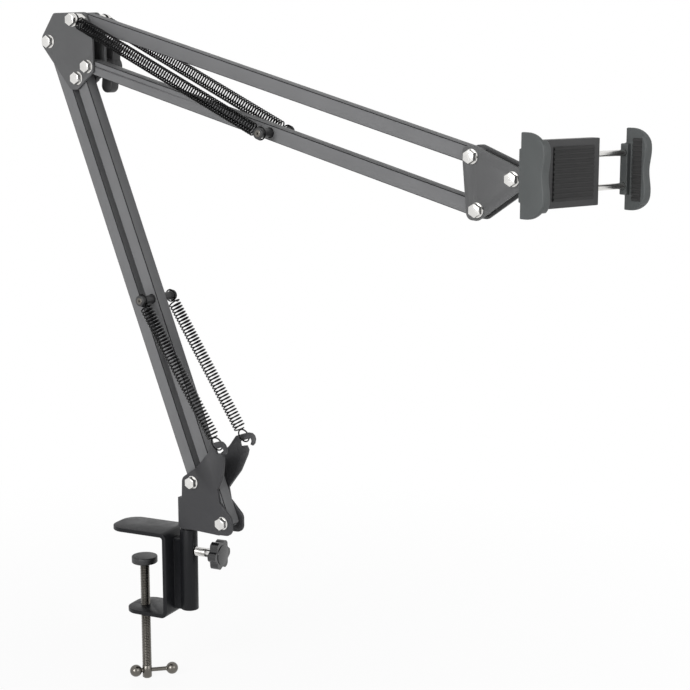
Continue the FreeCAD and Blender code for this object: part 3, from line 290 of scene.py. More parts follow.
# BAR_EDGE: darker colour for the bars' rounded edge faces, painted shade
BAR_EDGE = (0.020, 0.020, 0.021)
FINISHES = {
    "bar_paint": powder_coat("bar_paint", BAR_GREY, rough=0.52, edge_colour=EDGE_BLACK, edge_amount=1.0,
                             shine=0.2, reach=1.1 * MM, even=0.85),
    # bar_edge: the bars' rounded edges, painted dark as shade
    "bar_edge": powder_coat("bar_edge", BAR_EDGE, rough=0.56, edge_colour=EDGE_BLACK, edge_amount=0.6,
                            shine=0.1),
    # plates, fork and clamp: their lighter edge colours are painted edge highlights
    "plate_paint": powder_coat("plate_paint", PLATE_GREY, rough=0.48, edge_colour=(0.30, 0.30, 0.30),
                               edge_amount=0.5, shine=0.3),
    "fork_paint": powder_coat("fork_paint", FORK_GREY, rough=0.44, edge_colour=(0.15, 0.15, 0.15),
                              edge_amount=0.5, shine=0.3),
    "clamp_paint": powder_coat("clamp_paint", CLAMP_BLACK, rough=0.36, edge_colour=(0.03, 0.03, 0.032),
                               edge_amount=0.5, shine=0.18),
    # the last colour of each plated finish is the painted shade in its hollows and inside a coil
    "nickel": plated("nickel", (0.80, 0.79, 0.77), rough=0.20, shade_colour=(0.10, 0.10, 0.10)),
    "spring_steel": plated("spring_steel", (0.012, 0.012, 0.0125), rough=0.2, shade_colour=(0.003, 0.003, 0.003)),
    "screw_steel": plated("screw_steel", (0.16, 0.151, 0.136), rough=0.26, shade_colour=(0.014, 0.013, 0.012)),
    "gloss_plastic": moulded("gloss_plastic", (0.011, 0.011, 0.012), rough=0.18, pebble=900.0,
                             depth=0.03 * MM, coat=0.35),
    "matt_plastic": moulded("matt_plastic", (0.022, 0.022, 0.023), rough=0.46, pebble=2200.0, depth=0.1 * MM),
    "jaw_plastic": moulded("jaw_plastic", (0.064, 0.070, 0.070), rough=0.48, pebble=2400.0, depth=0.08 * MM),
    "rubber": moulded("rubber", (0.024, 0.024, 0.024), rough=0.78, pebble=1700.0, depth=0.12 * MM),
}


# Making pieces

def settle(name, bm, finish, sharp=38.0):
    """Turn a worked mesh into an object with its finish; faces meet sharply past the given angle."""
    bmesh.ops.recalc_face_normals(bm, faces=bm.faces)
    mesh = bpy.data.meshes.new(name)
    bm.to_mesh(mesh)
    bm.free()
    for face in mesh.polygons:
        face.use_smooth = True
    if sharp:
        mesh.set_sharp_from_angle(angle=math.radians(sharp))
    mesh.materials.append(FINISHES[finish])
    piece = bpy.data.objects.new(name, mesh)
    bpy.context.scene.collection.objects.link(piece)
    return piece


def stand_in(piece, node):
    """The piece moves with a CAD piece's body and shows in its place."""
    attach(piece, body_of(node))
    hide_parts(node)


def along(at, axis):
    """Matrix that lays a shape made up the Z axis along another axis from a point."""
    return Matrix.Translation(at) @ axis.to_track_quat("Z", "Y").to_matrix().to_4x4()


def turned(bm, profile, at, axis, steps=40):
    """Turn a profile of (radius, height) pairs about an axis, as on a lathe."""
    place = along(at, axis)
    ring = [bm.verts.new(place @ Vector((radius, 0.0, height))) for radius, height in profile]
    edges = [bm.edges.new(pair) for pair in zip(ring, ring[1:])]
    bmesh.ops.spin(bm, geom=ring + edges, cent=at, axis=axis, dvec=Vector(), angle=FULL_TURN,
                   steps=steps, use_merge=True, use_duplicate=False)
    bmesh.ops.remove_doubles(bm, verts=bm.verts, dist=1e-7)


def arc(radius, height, bend, first, last, count):
    """Profile points on a rounded edge: its middle, its radius and its first and last angle in degrees."""
    points = []
    for number in range(count + 1):
        angle = math.radians(first + (last - first) * number / count)
        points.append((max(0.0, radius + bend * math.cos(angle)), height + bend * math.sin(angle)))
    return points


def hexagon(bm, at, axis, corner, height, chamfer):
    """A hexagon block whose outer end is chamfered."""
    made = bmesh.ops.create_cone(bm, cap_ends=True, segments=6, radius1=corner, radius2=corner, depth=height)
    verts = made["verts"]
    top = [v for v in verts if v.co.z > 0]
    rim = [e for e in {e for v in top for e in v.link_edges} if all(v in top for v in e.verts)]
    bmesh.ops.transform(bm, matrix=along(at, axis) @ Matrix.Translation((0, 0, height / 2)), verts=verts)
    bmesh.ops.bevel(bm, geom=rim, offset=chamfer, segments=3, profile=0.5, affect="EDGES", material=-1)


def rounded_edges(piece, name, width, segments, least_turn):
    """Round the edges of a piece that turn by more than an angle in degrees."""
    rounding = piece.modifiers.new(name, "BEVEL")
    rounding.width = width
    rounding.segments = segments
    rounding.limit_method = "ANGLE"
    rounding.angle_limit = math.radians(least_turn)
    rounding.harden_normals = True
    return rounding


SLIVER = 0.1 * MM
FLAT = math.radians(0.5)


def dressed(node, finish, edge):
    """A CAD piece with its edges broken; a bar's rounded edges take a darker finish as painted shade."""
    bm = bmesh.new()
    bm.from_mesh(frame["nodes"][node].data)
    bmesh.ops.remove_doubles(bm, verts=bm.verts, dist=SLIVER)
    bmesh.ops.dissolve_limit(bm, angle_limit=FLAT, verts=bm.verts, edges=bm.edges)
    piece = settle(node + "_finished", bm, finish, sharp=None)
    rounding = rounded_edges(piece, "broken_edges", edge, 3, 32.0)
    rounding.use_clamp_overlap = False
    # bars: the rounded edge faces get the dark bar_edge finish as painted shade
    if finish == "bar_paint":
        piece.data.materials.append(FINISHES["bar_edge"])
        rounding.material = 1
    stand_in(piece, node)


# Bars, plates, fork and clamp keep their solids' forms, with broken edges
EDGES = {
    "lower_rear_bar": ("bar_paint", 0.5), "lower_front_bar": ("bar_paint", 0.5),
    "upper_top_bar": ("bar_paint", 0.5), "upper_bottom_bar": ("bar_paint", 0.5),
    "elbow_plate_near": ("plate_paint", 0.35), "elbow_plate_far": ("plate_paint", 0.35),
    "head_plate_near": ("plate_paint", 0.35), "head_plate_far": ("plate_paint", 0.35),
    "base_fork": ("fork_paint", 0.3), "base_post": ("fork_paint", 0.3),
    "clamp_frame": ("clamp_paint", 0.35), "pressure_pad": ("matt_plastic", 0.7),
    "nose_link": ("plate_paint", 0.5), "ball_stud": ("nickel", 0.3),
    "collar_nut": ("matt_plastic", 0.7), "holder_back": ("matt_plastic", 0.5),
    "fixed_jaw": ("jaw_plastic", 0.7), "sliding_jaw": ("jaw_plastic", 0.7),
    "elbow_knob": ("matt_plastic", 0.9),
}
for node, (finish, edge) in EDGES.items():
    dressed(node, finish, edge * MM)


# Bolts and nuts
FLANGE = 4.7 * MM
FLANGE_THICK = 1.0 * MM
HEX_CORNER = 4.4 * MM
SHANK = 2.95 * MM
HEAD = 3.4 * MM
NUT = 4.0 * MM
CHAMFER = 0.55 * MM
FLANGE_RIM = 0.2 * MM
FLANGE_SIDE = 0.5 * MM
HEX_FOOT = 0.6 * MM
TAIL_CHAMFER = 0.5 * MM
FLANGE_PROFILE = [(0.0, 0.0), (FLANGE - FLANGE_RIM, 0.0), (FLANGE, FLANGE_RIM), (FLANGE, FLANGE_SIDE),
                  (FLANGE - FLANGE_SIDE, FLANGE_THICK), (0.0, FLANGE_THICK)]


def bolt(node, seat):
    """A flange bolt: shank to its tail, and the head towards the viewer from its seat."""
    at = pivot(node, -seat)
    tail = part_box(node)[1].y - at.y
    bm = bmesh.new()
    turned(bm, FLANGE_PROFILE, at, -SIDEWAYS)
    hexagon(bm, at - SIDEWAYS * HEX_FOOT, -SIDEWAYS, HEX_CORNER, HEAD + FLANGE_THICK - HEX_FOOT, CHAMFER)
    shank = [(0.0, 0.0), (SHANK, 0.0), (SHANK, tail - TAIL_CHAMFER)]
    shank += [(SHANK - TAIL_CHAMFER, tail), (0.0, tail)]
    turned(bm, shank, at, SIDEWAYS, 32)
    return bm


def nut(node):
    """A flange nut from the plate it sits on."""
    at = pivot(node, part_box(node)[0].y - ARM_Y)
    bm = bmesh.new()
    turned(bm, FLANGE_PROFILE, at, SIDEWAYS)
    hexagon(bm, at + SIDEWAYS * HEX_FOOT, SIDEWAYS, HEX_CORNER, NUT - HEX_FOOT, CHAMFER)
    stand_in(settle(node + "_turned", bm, "nickel"), node)


PLATE_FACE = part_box("elbow_plate_far")[1].y - ARM_Y
PIVOTS = ("pivot_rear", "pivot_front", "elbow_rear", "elbow_front", "head_top", "head_low", "nose")
for stem in PIVOTS:
    stand_in(settle(stem + "_bolt_turned", bolt(stem + "_bolt", PLATE_FACE), "nickel"), stem + "_bolt")
    nut(stem + "_nut")
stand_in(settle("elbow_low_bolt_turned", bolt("elbow_low_bolt", PLATE_FACE), "nickel"), "elbow_low_bolt")
nut("elbow_top_nut")

# The elbow's top stud carries the upper springs outside two spacers
STUD_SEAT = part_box("elbow_top_nut")[0].y - ARM_Y
SPACER = 4.4 * MM
SPACER_END = 14.2 * MM
SPACER_CHAMFER = 0.3 * MM
spacer_length = SPACER_END - PLATE_FACE
spacer = [(0.0, 0.0), (SPACER, 0.0), (SPACER, spacer_length - SPACER_CHAMFER),
          (SPACER - SPACER_CHAMFER, spacer_length), (0.0, spacer_length)]
stud_mesh = bolt("elbow_top_stud", STUD_SEAT)
for way in (-1.0, 1.0):
    turned(stud_mesh, spacer, pivot("elbow_top_stud", way * PLATE_FACE), SIDEWAYS * way, 32)
stand_in(settle("elbow_top_stud_turned", stud_mesh, "nickel"), "elbow_top_stud")


# Spring pegs: black pins with rounded rims and bare steel ends
PEG = 3.0 * MM
PEG_RIM = 4.0 * MM
PEG_DOME = 1.0 * MM
PEG_RIM_SIDE = 1.3 * MM
PEG_NECK = 1.7 * MM
PEG_END = 2.4 * MM
END_BEND = 0.3 * MM
END_SUNK = 0.1 * MM
END_ROOT = -0.6 * MM
DIMPLE_RIM = (0.8 * MM, 0.28 * MM)
DIMPLE = 0.6 * MM


def peg(node):
    """A pin through a bar, its rims rounded over."""
    low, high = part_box(node)
    span = high.y - low.y
    half = [(0.0, 0.0), (PEG_RIM - PEG_DOME, 0.0)]
    half += arc(PEG_RIM - PEG_DOME, PEG_DOME, PEG_DOME, -90.0, 0.0, 5)
    half += [(PEG_RIM, PEG_RIM_SIDE), (PEG, PEG_NECK)]
    profile = half + [(radius, span - height) for radius, height in reversed(half)]
    bm = bmesh.new()
    turned(bm, profile, pivot(node, low.y - ARM_Y), SIDEWAYS)
    stand_in(settle(node + "_turned", bm, "matt_plastic"), node)


def peg_ends(node):
    """The bare steel ends of a pin, slightly domed and let into its black sleeve."""
    low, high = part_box(node)
    profile = [(0.0, END_ROOT), (PEG_END, END_ROOT)]
    profile += arc(PEG_END - END_BEND, -END_SUNK, END_BEND, 0.0, 90.0, 3)
    profile += [DIMPLE_RIM, (DIMPLE, 0.0), (0.0, 0.0)]
    bm = bmesh.new()
    for way, side in ((-1.0, low.y), (1.0, high.y)):
        turned(bm, profile, pivot(node, side - ARM_Y), SIDEWAYS * way, 28)
    piece = settle(node + "_ends", bm, "screw_steel")
    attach(piece, body_of(node))


for pin in ("lower_peg", "upper_peg"):
    peg(pin)
    peg_ends(pin)

# Springs
WIRE = 0.54 * MM
COIL = 4.1 * MM
LOOP = 4.2 * MM
COIL_START = 5.4 * MM
WIRE_SIDES = 8
TURN_STEPS = 18
SPRING_DEPTH = 15.4 * MM
HOOK_EYE = 4.8 * MM
HOOK_EYE_SHIFT = 0.9 * MM
HOOK_LEAD = 6.5 * MM
HOOK_OFFSET = 15.2 * MM
HOOK_FROM_PIVOT = Vector((29.7, 0.0, 33.1)) * MM
LOWER_TURNS = 43
UPPER_TURNS = 78


def wire_ring(bm, at, out, tangent):
    """A ring of wire section at a point, square to the way the wire runs."""
    made = bmesh.ops.create_circle(bm, cap_ends=False, segments=WIRE_SIDES, radius=WIRE)
    third = tangent.cross(out)
    turn = Matrix((out, third, tangent)).transposed().to_4x4()
    bmesh.ops.transform(bm, matrix=Matrix.Translation(at) @ turn, verts=made["verts"])
    edges = list({e for v in made["verts"] for e in v.link_edges})
    return made["verts"] + edges


def wire_loop(bm, centre, axis, out, radius):
    """A closed eye of wire about an axis."""
    ring = wire_ring(bm, centre + out * radius, out, axis.cross(out).normalized())
    bmesh.ops.spin(bm, geom=ring, cent=centre, axis=axis, dvec=Vector(), angle=FULL_TURN, steps=32,
                   use_merge=True, use_duplicate=False)


def wire_neck(bm, first, second):
    """Straight wire between two points."""
    run = second - first
    made = bmesh.ops.create_cone(bm, cap_ends=True, segments=WIRE_SIDES, radius1=WIRE, radius2=WIRE,
                                 depth=run.length)
    bmesh.ops.transform(bm, matrix=along((first + second) / 2, run.normalized()), verts=made["verts"])


def spring(node, start, end, start_axis, turns, eye, eye_shift, lead):
    """A close-wound spring with an eye at each end."""
    run = (end - start).normalized()
    other = run.cross(SIDEWAYS).normalized()
    out = other.cross(run).normalized()
    first = start + run * lead
    length = (end - start).length - lead - COIL_START
    bm = bmesh.new()
    ring = wire_ring(bm, first + out * COIL, out, run.cross(out).normalized())
    bmesh.ops.spin(bm, geom=ring, cent=first, axis=run, dvec=run * (length / turns / TURN_STEPS),
                   angle=FULL_TURN * turns, steps=turns * TURN_STEPS, use_merge=False, use_duplicate=False)
    bmesh.ops.holes_fill(bm, edges=[e for e in bm.edges if e.is_boundary], sides=WIRE_SIDES)
    # mark the coil's inside, where painted shade darkens the wire
    inside = bm.verts.layers.float.new(INSIDE)
    for vert in bm.verts:
        spot = vert.co - first
        off_axis = (spot - run * spot.dot(run)).length
        vert[inside] = min(1.0, max(0.0, (COIL + 0.35 * WIRE - off_axis) / WIRE))
    wire_loop(bm, start + run * eye_shift, start_axis, run, eye)
    wire_loop(bm, end, SIDEWAYS, -run, LOOP)
    wire_neck(bm, start + run * (eye_shift + eye), first + out * COIL)
    wire_neck(bm, end - run * LOOP, end - run * COIL_START + out * COIL)
    piece = settle(node + "_wound", bm, "spring_steel", sharp=None)
    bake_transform(piece)
    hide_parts(node)


for tag, way in (("near", -1.0), ("far", 1.0)):
    peg_end = pivot("lower_peg", way * SPRING_DEPTH)
    hook = pivot("pivot_rear_bolt", way * HOOK_OFFSET) + HOOK_FROM_PIVOT
    run = (peg_end - hook).normalized()
    hook_axis = Vector((run.z, 0.0, -run.x)).normalized()
    spring("lower_spring_" + tag, hook, peg_end, hook_axis, LOWER_TURNS,
           HOOK_EYE, HOOK_EYE_SHIFT, HOOK_LEAD)
    spring("upper_spring_" + tag, pivot("elbow_top_stud", way * SPRING_DEPTH),
           pivot("upper_peg", way * SPRING_DEPTH), SIDEWAYS, UPPER_TURNS,
           LOOP, 0.0, COIL_START)


# Threads
CREST_FROM = 0.42
CREST_TO = 0.58


def thread(bm, foot, axis, crest, root, pitch, turns, steps=24):
    """A screw thread wound up an axis: one ridge carried round and up."""
    place = along(foot, axis)
    ridge = [(root, 0.0), (crest, CREST_FROM * pitch), (crest, CREST_TO * pitch), (root, pitch)]
    verts = [bm.verts.new(place @ Vector((radius, 0.0, height))) for radius, height in ridge]
    edges = [bm.edges.new(pair) for pair in zip(verts, verts[1:])]
    bmesh.ops.spin(bm, geom=verts + edges, cent=foot, axis=axis, dvec=axis * (pitch / steps),
                   angle=FULL_TURN * turns, steps=turns * steps, use_merge=False, use_duplicate=False)
    bmesh.ops.remove_doubles(bm, verts=bm.verts, dist=1e-6)


# Clamp screw: threaded rod with a plain drilled foot
SCREW = 3.5 * MM
SCREW_ROOT = 2.95 * MM
SCREW_PITCH = 1.25 * MM
FOOT_PLAIN = 9.5 * MM
FOOT_CHAMFER = 0.7 * MM
FOOT_STEP = 0.5 * MM
ROOT_TAPER = 0.05 * MM
THREAD_SUNK = 0.1 * MM
THREAD_EARLY = 0.6 * MM
THREAD_SHORT = 1.5 * MM
SKIN = 0.02 * MM
screw_low, screw_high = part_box("clamp_screw")
screw_foot = Vector((0.0, 0.0, screw_low.z))
screw_length = screw_high.z - screw_low.z
screw_mesh = bmesh.new()
screw_profile = [(0.0, 0.0), (SCREW - FOOT_CHAMFER, 0.0), (SCREW, FOOT_CHAMFER)]
screw_profile += [(SCREW, FOOT_PLAIN - FOOT_STEP), (SCREW_ROOT, FOOT_PLAIN)]
screw_profile += [(SCREW_ROOT - ROOT_TAPER, screw_length), (0.0, screw_length)]
turned(screw_mesh, screw_profile, screw_foot, UPWARDS)
screw_turns = int((screw_length - FOOT_PLAIN - THREAD_SHORT) / SCREW_PITCH)
thread(screw_mesh, screw_foot + UPWARDS * (FOOT_PLAIN - THREAD_EARLY), UPWARDS, SCREW - SKIN,
       SCREW_ROOT - THREAD_SUNK, SCREW_PITCH, screw_turns)
stand_in(settle("clamp_screw_cut", screw_mesh, "screw_steel", 50.0), "clamp_screw")

# Tommy bar: thin rod with a ball on each end
TOMMY_BALL = 4.5 * MM
TOMMY_ROD = 1.5 * MM
TOMMY_FILLET = (0.1 * MM, 0.5 * MM)
tommy_axis = Vector(joint("tommy_slide")["axis"]).normalized()
tommy_low, tommy_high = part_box("tommy_bar")
tommy_mid = (tommy_low + tommy_high) / 2
tommy_half = ((tommy_high.x - tommy_low.x) / 2 - TOMMY_BALL) / tommy_axis.x
tommy_mesh = bmesh.new()
ball = arc(0.0, 0.0, TOMMY_BALL, -90.0, 66.0, 14)
ball += [(TOMMY_ROD + TOMMY_FILLET[0], TOMMY_BALL), (TOMMY_ROD, TOMMY_BALL + TOMMY_FILLET[1])]
ends = ball + [(radius, 2 * tommy_half - height) for radius, height in reversed(ball)]
turned(tommy_mesh, ends, tommy_mid - tommy_axis * tommy_half, tommy_axis)
stand_in(settle("tommy_bar_turned", tommy_mesh, "screw_steel", 60.0), "tommy_bar")

# Lock screw: threaded towards its tip, plain towards its knob
LOCK = 3.3 * MM
LOCK_TURNS = 9
LOCK_PITCH = 1.0 * MM
LOCK_ROOT = LOCK - 0.45 * MM
LOCK_TIP = (LOCK - 0.7 * MM, 0.4 * MM)
LOCK_STEP = 0.6 * MM
LOCK_THREAD_AT = 0.5 * MM
lock_axis = Vector(joint("lock_turn")["axis"]).normalized()
lock_low, lock_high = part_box("lock_screw")
lock_mid = middle("lock_screw")
lock_length = ((lock_high.x - lock_low.x) - 2 * LOCK * lock_axis.y) / lock_axis.x
lock_tip = lock_mid - lock_axis * lock_length / 2
lock_mesh = bmesh.new()
lock_profile = [(0.0, 0.0), (LOCK_TIP[0], 0.0), (LOCK_ROOT, LOCK_TIP[1])]
lock_profile += [(LOCK_ROOT, LOCK_TURNS * LOCK_PITCH), (LOCK, LOCK_TURNS * LOCK_PITCH + LOCK_STEP)]
lock_profile += [(LOCK, lock_length), (0.0, lock_length)]
turned(lock_mesh, lock_profile, lock_tip, lock_axis)
thread(lock_mesh, lock_tip + lock_axis * LOCK_THREAD_AT, lock_axis, LOCK - SKIN, LOCK_ROOT - THREAD_SUNK,
       LOCK_PITCH, LOCK_TURNS)
stand_in(settle("lock_screw_cut", lock_mesh, "nickel", 50.0), "lock_screw")


# Hand knobs
def lobed_rings(bm, lobes, radius, dip, rings):
    """A knob's walls: a lobed outline carried up through (height, inset) steps and closed at both ends."""
    count = lobes * 16
    made = bmesh.ops.create_circle(bm, cap_ends=False, segments=count, radius=radius)
    verts = made["verts"]
    for vert in verts:
        angle = math.atan2(vert.co.y, vert.co.x)
        hollow = (0.5 - 0.5 * math.cos(lobes * angle)) ** 1.6
        vert.co *= 1.0 - dip / radius * hollow
    edges = list({e for v in verts for e in v.link_edges})
    base_edges = edges
    last_height, last_inset = rings[0]
    bmesh.ops.scale(bm, vec=Vector((1 - last_inset / radius, 1 - last_inset / radius, 1.0)), verts=verts)
    bmesh.ops.translate(bm, vec=Vector((0, 0, last_height)), verts=verts)
    for height, inset in rings[1:]:
        grown = bmesh.ops.extrude_edge_only(bm, edges=edges)["geom"]
        verts = [g for g in grown if isinstance(g, bmesh.types.BMVert)]
        edges = [g for g in grown if isinstance(g, bmesh.types.BMEdge)]
        grow = (radius - inset) / (radius - last_inset)
        bmesh.ops.scale(bm, vec=Vector((grow, grow, 1.0)), verts=verts)
        bmesh.ops.translate(bm, vec=Vector((0, 0, height - last_height)), verts=verts)
        last_height, last_inset = height, inset
    bmesh.ops.contextual_create(bm, geom=base_edges)
    bmesh.ops.contextual_create(bm, geom=edges)


def rounded_wall(depth, bend):
    """Steps of a knob's wall: rounded at its foot and its face."""
    steps = [(height, -inset) for inset, height in arc(-bend, bend, bend, -90.0, 0.0, 4)]
    steps += [(height, -inset) for inset, height in arc(-bend, depth - bend, bend, 0.0, 90.0, 4)]
    return steps


def hand_knob(node, at, axis, lobes, radius, dip, depth, bend, extras):
    """A lobed knob along an axis, with turned parts in front of and behind it."""
    bm = bmesh.new()
    lobed_rings(bm, lobes, radius, dip, rounded_wall(depth, bend))
    bmesh.ops.transform(bm, matrix=along(at, axis), verts=bm.verts)
    for profile, shift in extras:
        turned(bm, profile, at + axis * shift, axis)
    stand_in(settle(node + "_moulded", bm, "gloss_plastic"), node)


KNOB = 10.9 * MM
KNOB_LOBES = 6
KNOB_DIP = 2.2 * MM
KNOB_DEPTH = 6.4 * MM
KNOB_BEND = 1.3 * MM
KNOB_FROM_SWIVEL = 21.7 * MM
CAP = 7.4 * MM
CAP_THICK = 0.6 * MM
CAP_ROOT = -1.0 * MM
CAP_BEND = 0.4 * MM
CAP_DISH = 0.1 * MM
NECK_WIDE = 5.2 * MM
NECK_FOOT = 4.6 * MM
NECK_CHAMFER = 0.6 * MM
swivel = Vector(joint("base_swivel")["pos_m"])
lock_at = Vector((swivel.x, swivel.y, lock_mid.z)) + lock_axis * KNOB_FROM_SWIVEL
cap_profile = [(0.0, CAP_ROOT), (CAP, CAP_ROOT), (CAP, CAP_THICK - CAP_BEND)]
cap_profile += arc(CAP - CAP_BEND, CAP_THICK - CAP_BEND, CAP_BEND, 0.0, 90.0, 4)
cap_profile += [(0.0, CAP_THICK - CAP_DISH)]
neck_profile = [(0.0, NECK_CHAMFER), (NECK_WIDE, NECK_CHAMFER), (NECK_FOOT, 0.0), (0.0, 0.0)]
hand_knob("lock_knob", lock_at, lock_axis, KNOB_LOBES, KNOB, KNOB_DIP, KNOB_DEPTH, KNOB_BEND,
          [(cap_profile, KNOB_DEPTH), (neck_profile, 0.0)])


# Holder
holder_at = Vector(joint("holder_roll")["pos_m"])
FACE = Vector(joint("holder_roll")["axis"]).normalized()
ACROSS = Vector(joint("jaw_slide")["axis"]).normalized()
HOLDER = Matrix((FACE, ACROSS, UPWARDS)).transposed().to_4x4()
HOLDER.translation = holder_at


def ribbed_pad(node, low, high, ribs, rib, way):
    """A rubber pad in the holder's frame, ribbed across the face that looks along way."""
    bm = bmesh.new()
    n_low, w_low, z_low = low
    n_high, w_high, z_high = high
    height = z_high - z_low
    on_face = way == "face"
    flat = n_high - rib if on_face else (w_high - rib if way == "left" else w_low + rib)
    peak = n_high if on_face else (w_high if way == "left" else w_low)
    back = n_low if on_face else (w_low if way == "left" else w_high)
    outline = [(back, z_low), (flat, z_low)]
    for number in range(ribs):
        foot = z_low + height * (number + 0.2) / ribs
        step = height / ribs
        outline += [(flat, foot), (peak, foot + 0.15 * step)]
        outline += [(peak, foot + 0.45 * step), (flat, foot + 0.6 * step)]
    outline += [(flat, z_high), (back, z_high)]
    if on_face:
        spots = [Vector((depth, w_low, z)) for depth, z in outline]
        push = Vector((0, w_high - w_low, 0))
    else:
        spots = [Vector((n_low, depth, z)) for depth, z in outline]
        push = Vector((n_high - n_low, 0, 0))
    face = bm.faces.new([bm.verts.new(s) for s in spots])
    grown = bmesh.ops.extrude_face_region(bm, geom=[face])["geom"]
    bmesh.ops.translate(bm, vec=push, verts=[g for g in grown if isinstance(g, bmesh.types.BMVert)])
    bmesh.ops.transform(bm, matrix=HOLDER, verts=bm.verts)
    piece = settle(node + "_ribbed", bm, "rubber", sharp=None)
    rounded_edges(piece, "soft_edges", 0.2 * MM, 2, 25.0)
    stand_in(piece, node)


HALF_GAP = 42.0 * MM
GRIP = 1.2 * MM
LIFT = 5.6 * MM
GRIP_FROM = 15.2 * MM
GRIP_TO = 23.5 * MM
GRIP_HALF = 19.0 * MM
REST_FROM = 13.8 * MM
REST_TO = 15.0 * MM
REST_LEFT = -24.0 * MM
REST_RIGHT = 10.0 * MM
REST_HALF = 16.0 * MM
GRIP_RIBS = 13
REST_RIBS = 11
RIB = 0.6 * MM
ribbed_pad("fixed_grip", (GRIP_FROM, -HALF_GAP - GRIP, LIFT - GRIP_HALF),
           (GRIP_TO, -HALF_GAP, LIFT + GRIP_HALF), GRIP_RIBS, RIB, "left")
ribbed_pad("sliding_grip", (GRIP_FROM, HALF_GAP, LIFT - GRIP_HALF),
           (GRIP_TO, HALF_GAP + GRIP, LIFT + GRIP_HALF), GRIP_RIBS, RIB, "right")
ribbed_pad("back_pad", (REST_FROM, REST_LEFT, LIFT - REST_HALF),
           (REST_TO, REST_RIGHT, LIFT + REST_HALF), REST_RIBS, RIB, "face")

GUIDE = 1.9 * MM
GUIDE_CHAMFER = 0.4 * MM


def guide_rod(node):
    """A round steel rod across the holder with chamfered ends."""
    low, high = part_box(node)
    length = ((high.y - low.y) - 2 * GUIDE * ACROSS.x) / ACROSS.y
    profile = [(0.0, 0.0), (GUIDE - GUIDE_CHAMFER, 0.0), (GUIDE, GUIDE_CHAMFER)]
    profile += [(GUIDE, length - GUIDE_CHAMFER), (GUIDE - GUIDE_CHAMFER, length), (0.0, length)]
    bm = bmesh.new()
    turned(bm, profile, middle(node) - ACROSS * length / 2, ACROSS)
    stand_in(settle(node + "_turned", bm, "nickel"), node)


guide_rod("guide_rod_low")
guide_rod("guide_rod_high")


# Studio
FLOOR_NEAR_FAR = (0.15, 0.6)
FLOOR_GLOW = (0.92, 1.0)
HORIZON_TO_TOP = (0.0, 0.9)
WORLD_LIGHT = (0.26, 0.10)


def floor_finish():
    """Pale floor that stays near white to the eye and still takes the shadow."""
    material = bpy.data.materials.new("pale_floor")
    material.use_nodes = True
    nodes = material.node_tree.nodes
    links = material.node_tree.links
    shader = nodes["Principled BSDF"]
    shader.inputs["Roughness"].default_value = 0.9
    shader.inputs["Base Color"].default_value = (0.92, 0.92, 0.92, 1.0)
    glow = nodes.new("ShaderNodeEmission")
    glow.inputs["Color"].default_value = (1.0, 1.0, 1.0, 1.0)
    glow.inputs["Strength"].default_value = 1.0
    path = nodes.new("ShaderNodeLightPath")
    seen = larger(nodes, links, path.outputs["Is Camera Ray"], path.outputs["Is Glossy Ray"])
    coords = nodes.new("ShaderNodeTexCoord")
    away = nodes.new("ShaderNodeVectorMath")
    away.operation = "LENGTH"
    links.new(coords.outputs["Object"], away.inputs[0])
    share = nodes.new("ShaderNodeMath")
    share.operation = "MULTIPLY"
    links.new(seen, share.inputs[0])
    links.new(spread(nodes, links, away.outputs["Value"], *FLOOR_NEAR_FAR, *FLOOR_GLOW), share.inputs[1])
    mix = nodes.new("ShaderNodeMixShader")
    links.new(share.outputs[0], mix.inputs["Fac"])
    links.new(shader.outputs["BSDF"], mix.inputs[1])
    links.new(glow.outputs["Emission"], mix.inputs[2])
    links.new(mix.outputs["Shader"], nodes["Material Output"].inputs["Surface"])
    return material


floor_mesh = bmesh.new()
bmesh.ops.create_grid(floor_mesh, x_segments=4, y_segments=4, size=30.0)
bmesh.ops.translate(floor_mesh, vec=Vector((0, 0, cad_box[0][2] - 0.5 * MM)), verts=floor_mesh.verts)
floor_data = bpy.data.meshes.new("floor")
floor_mesh.to_mesh(floor_data)
floor_mesh.free()
floor_data.materials.append(floor_finish())
floor = bpy.data.objects.new("floor", floor_data)
bpy.context.scene.collection.objects.link(floor)

# World: white to the eye and in reflections, a plain grey light on the object
world = bpy.data.worlds.new("studio")
bpy.context.scene.world = world
world.use_nodes = True
sky = world.node_tree.nodes
sky_links = world.node_tree.links
plain = sky["Background"]
plain.inputs["Color"].default_value = (1.0, 1.0, 1.0, 1.0)
sky_coords = sky.new("ShaderNodeTexCoord")
sky_parts = sky.new("ShaderNodeSeparateXYZ")
sky_links.new(sky_coords.outputs["Generated"], sky_parts.inputs["Vector"])
dimming = spread(sky, sky_links, sky_parts.outputs["Z"], *HORIZON_TO_TOP, *WORLD_LIGHT)
sky_links.new(dimming, plain.inputs["Strength"])
bright = sky.new("ShaderNodeBackground")
bright.inputs["Color"].default_value = (1.0, 1.0, 1.0, 1.0)
bright.inputs["Strength"].default_value = 1.0
sky_path = sky.new("ShaderNodeLightPath")
sky_mix = sky.new("ShaderNodeMixShader")
sky_seen = larger(sky, sky_links, sky_path.outputs["Is Camera Ray"], sky_path.outputs["Is Glossy Ray"])
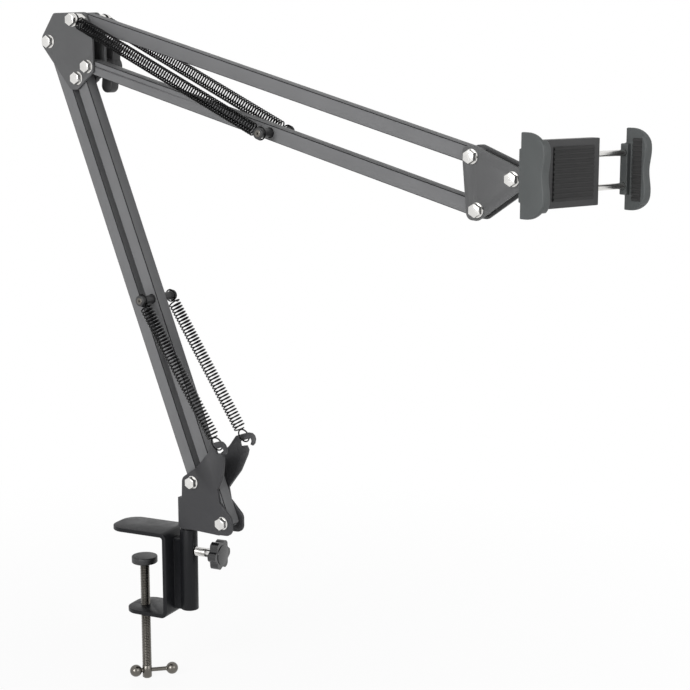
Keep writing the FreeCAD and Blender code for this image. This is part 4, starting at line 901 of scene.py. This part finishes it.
sky_links.new(sky_seen, sky_mix.inputs["Fac"])
sky_links.new(plain.outputs["Background"], sky_mix.inputs[1])
sky_links.new(bright.outputs["Background"], sky_mix.inputs[2])
sky_links.new(sky_mix.outputs["Shader"], sky["World Output"].inputs["Surface"])

# Camera at the photograph's viewing angle
PAN = math.radians(34.316)
DIP = math.radians(10.311)
FOCAL_PIXELS = 1614.3
FRAME_PIXELS = 690.0
SENSOR = 36.0
looking = Vector((-math.sin(PAN) * math.cos(DIP), math.cos(PAN) * math.cos(DIP), -math.sin(DIP)))
camera_data = bpy.data.cameras.new("camera")
camera_data.sensor_width = SENSOR
camera_data.sensor_fit = "HORIZONTAL"
camera_data.lens = FOCAL_PIXELS / FRAME_PIXELS * SENSOR
camera = bpy.data.objects.new("camera", camera_data)
camera.location = (0.768294, -0.862886, 0.3455)
camera.rotation_euler = looking.to_track_quat("-Z", "Y").to_euler()
bpy.context.scene.collection.objects.link(camera)
bpy.context.scene.camera = camera

# Soft lamps
to_right = Vector((math.cos(PAN), math.sin(PAN), 0.0))
to_viewer = Vector((math.sin(PAN), -math.cos(PAN), 0.0))
target = Vector((0.1, 0.0, 0.2))


def lamp(name, right, near, up, side, power):
    """A square soft lamp placed as seen by the viewer and aimed at the stand."""
    data = bpy.data.lights.new(name, "AREA")
    data.shape = "SQUARE"
    data.size = side
    data.energy = power
    obj = bpy.data.objects.new(name, data)
    obj.location = target + to_right * right + to_viewer * near + UPWARDS * up
    obj.rotation_euler = (target - obj.location).to_track_quat("-Z", "Y").to_euler()
    bpy.context.scene.collection.objects.link(obj)
    return obj


lamp("key", right=-0.85, near=1.3, up=0.45, side=0.9, power=18.0)
lamp("fill", right=1.15, near=1.0, up=0.45, side=1.0, power=7.0)
lamp("top", right=-0.2, near=-0.2, up=1.6, side=1.0, power=2.5)
back_lamp = lamp("back", right=-0.3, near=-1.4, up=0.15, side=0.7, power=9.0)
back_lamp.visible_glossy = False
bpy.context.scene.view_settings.view_transform = "Standard"
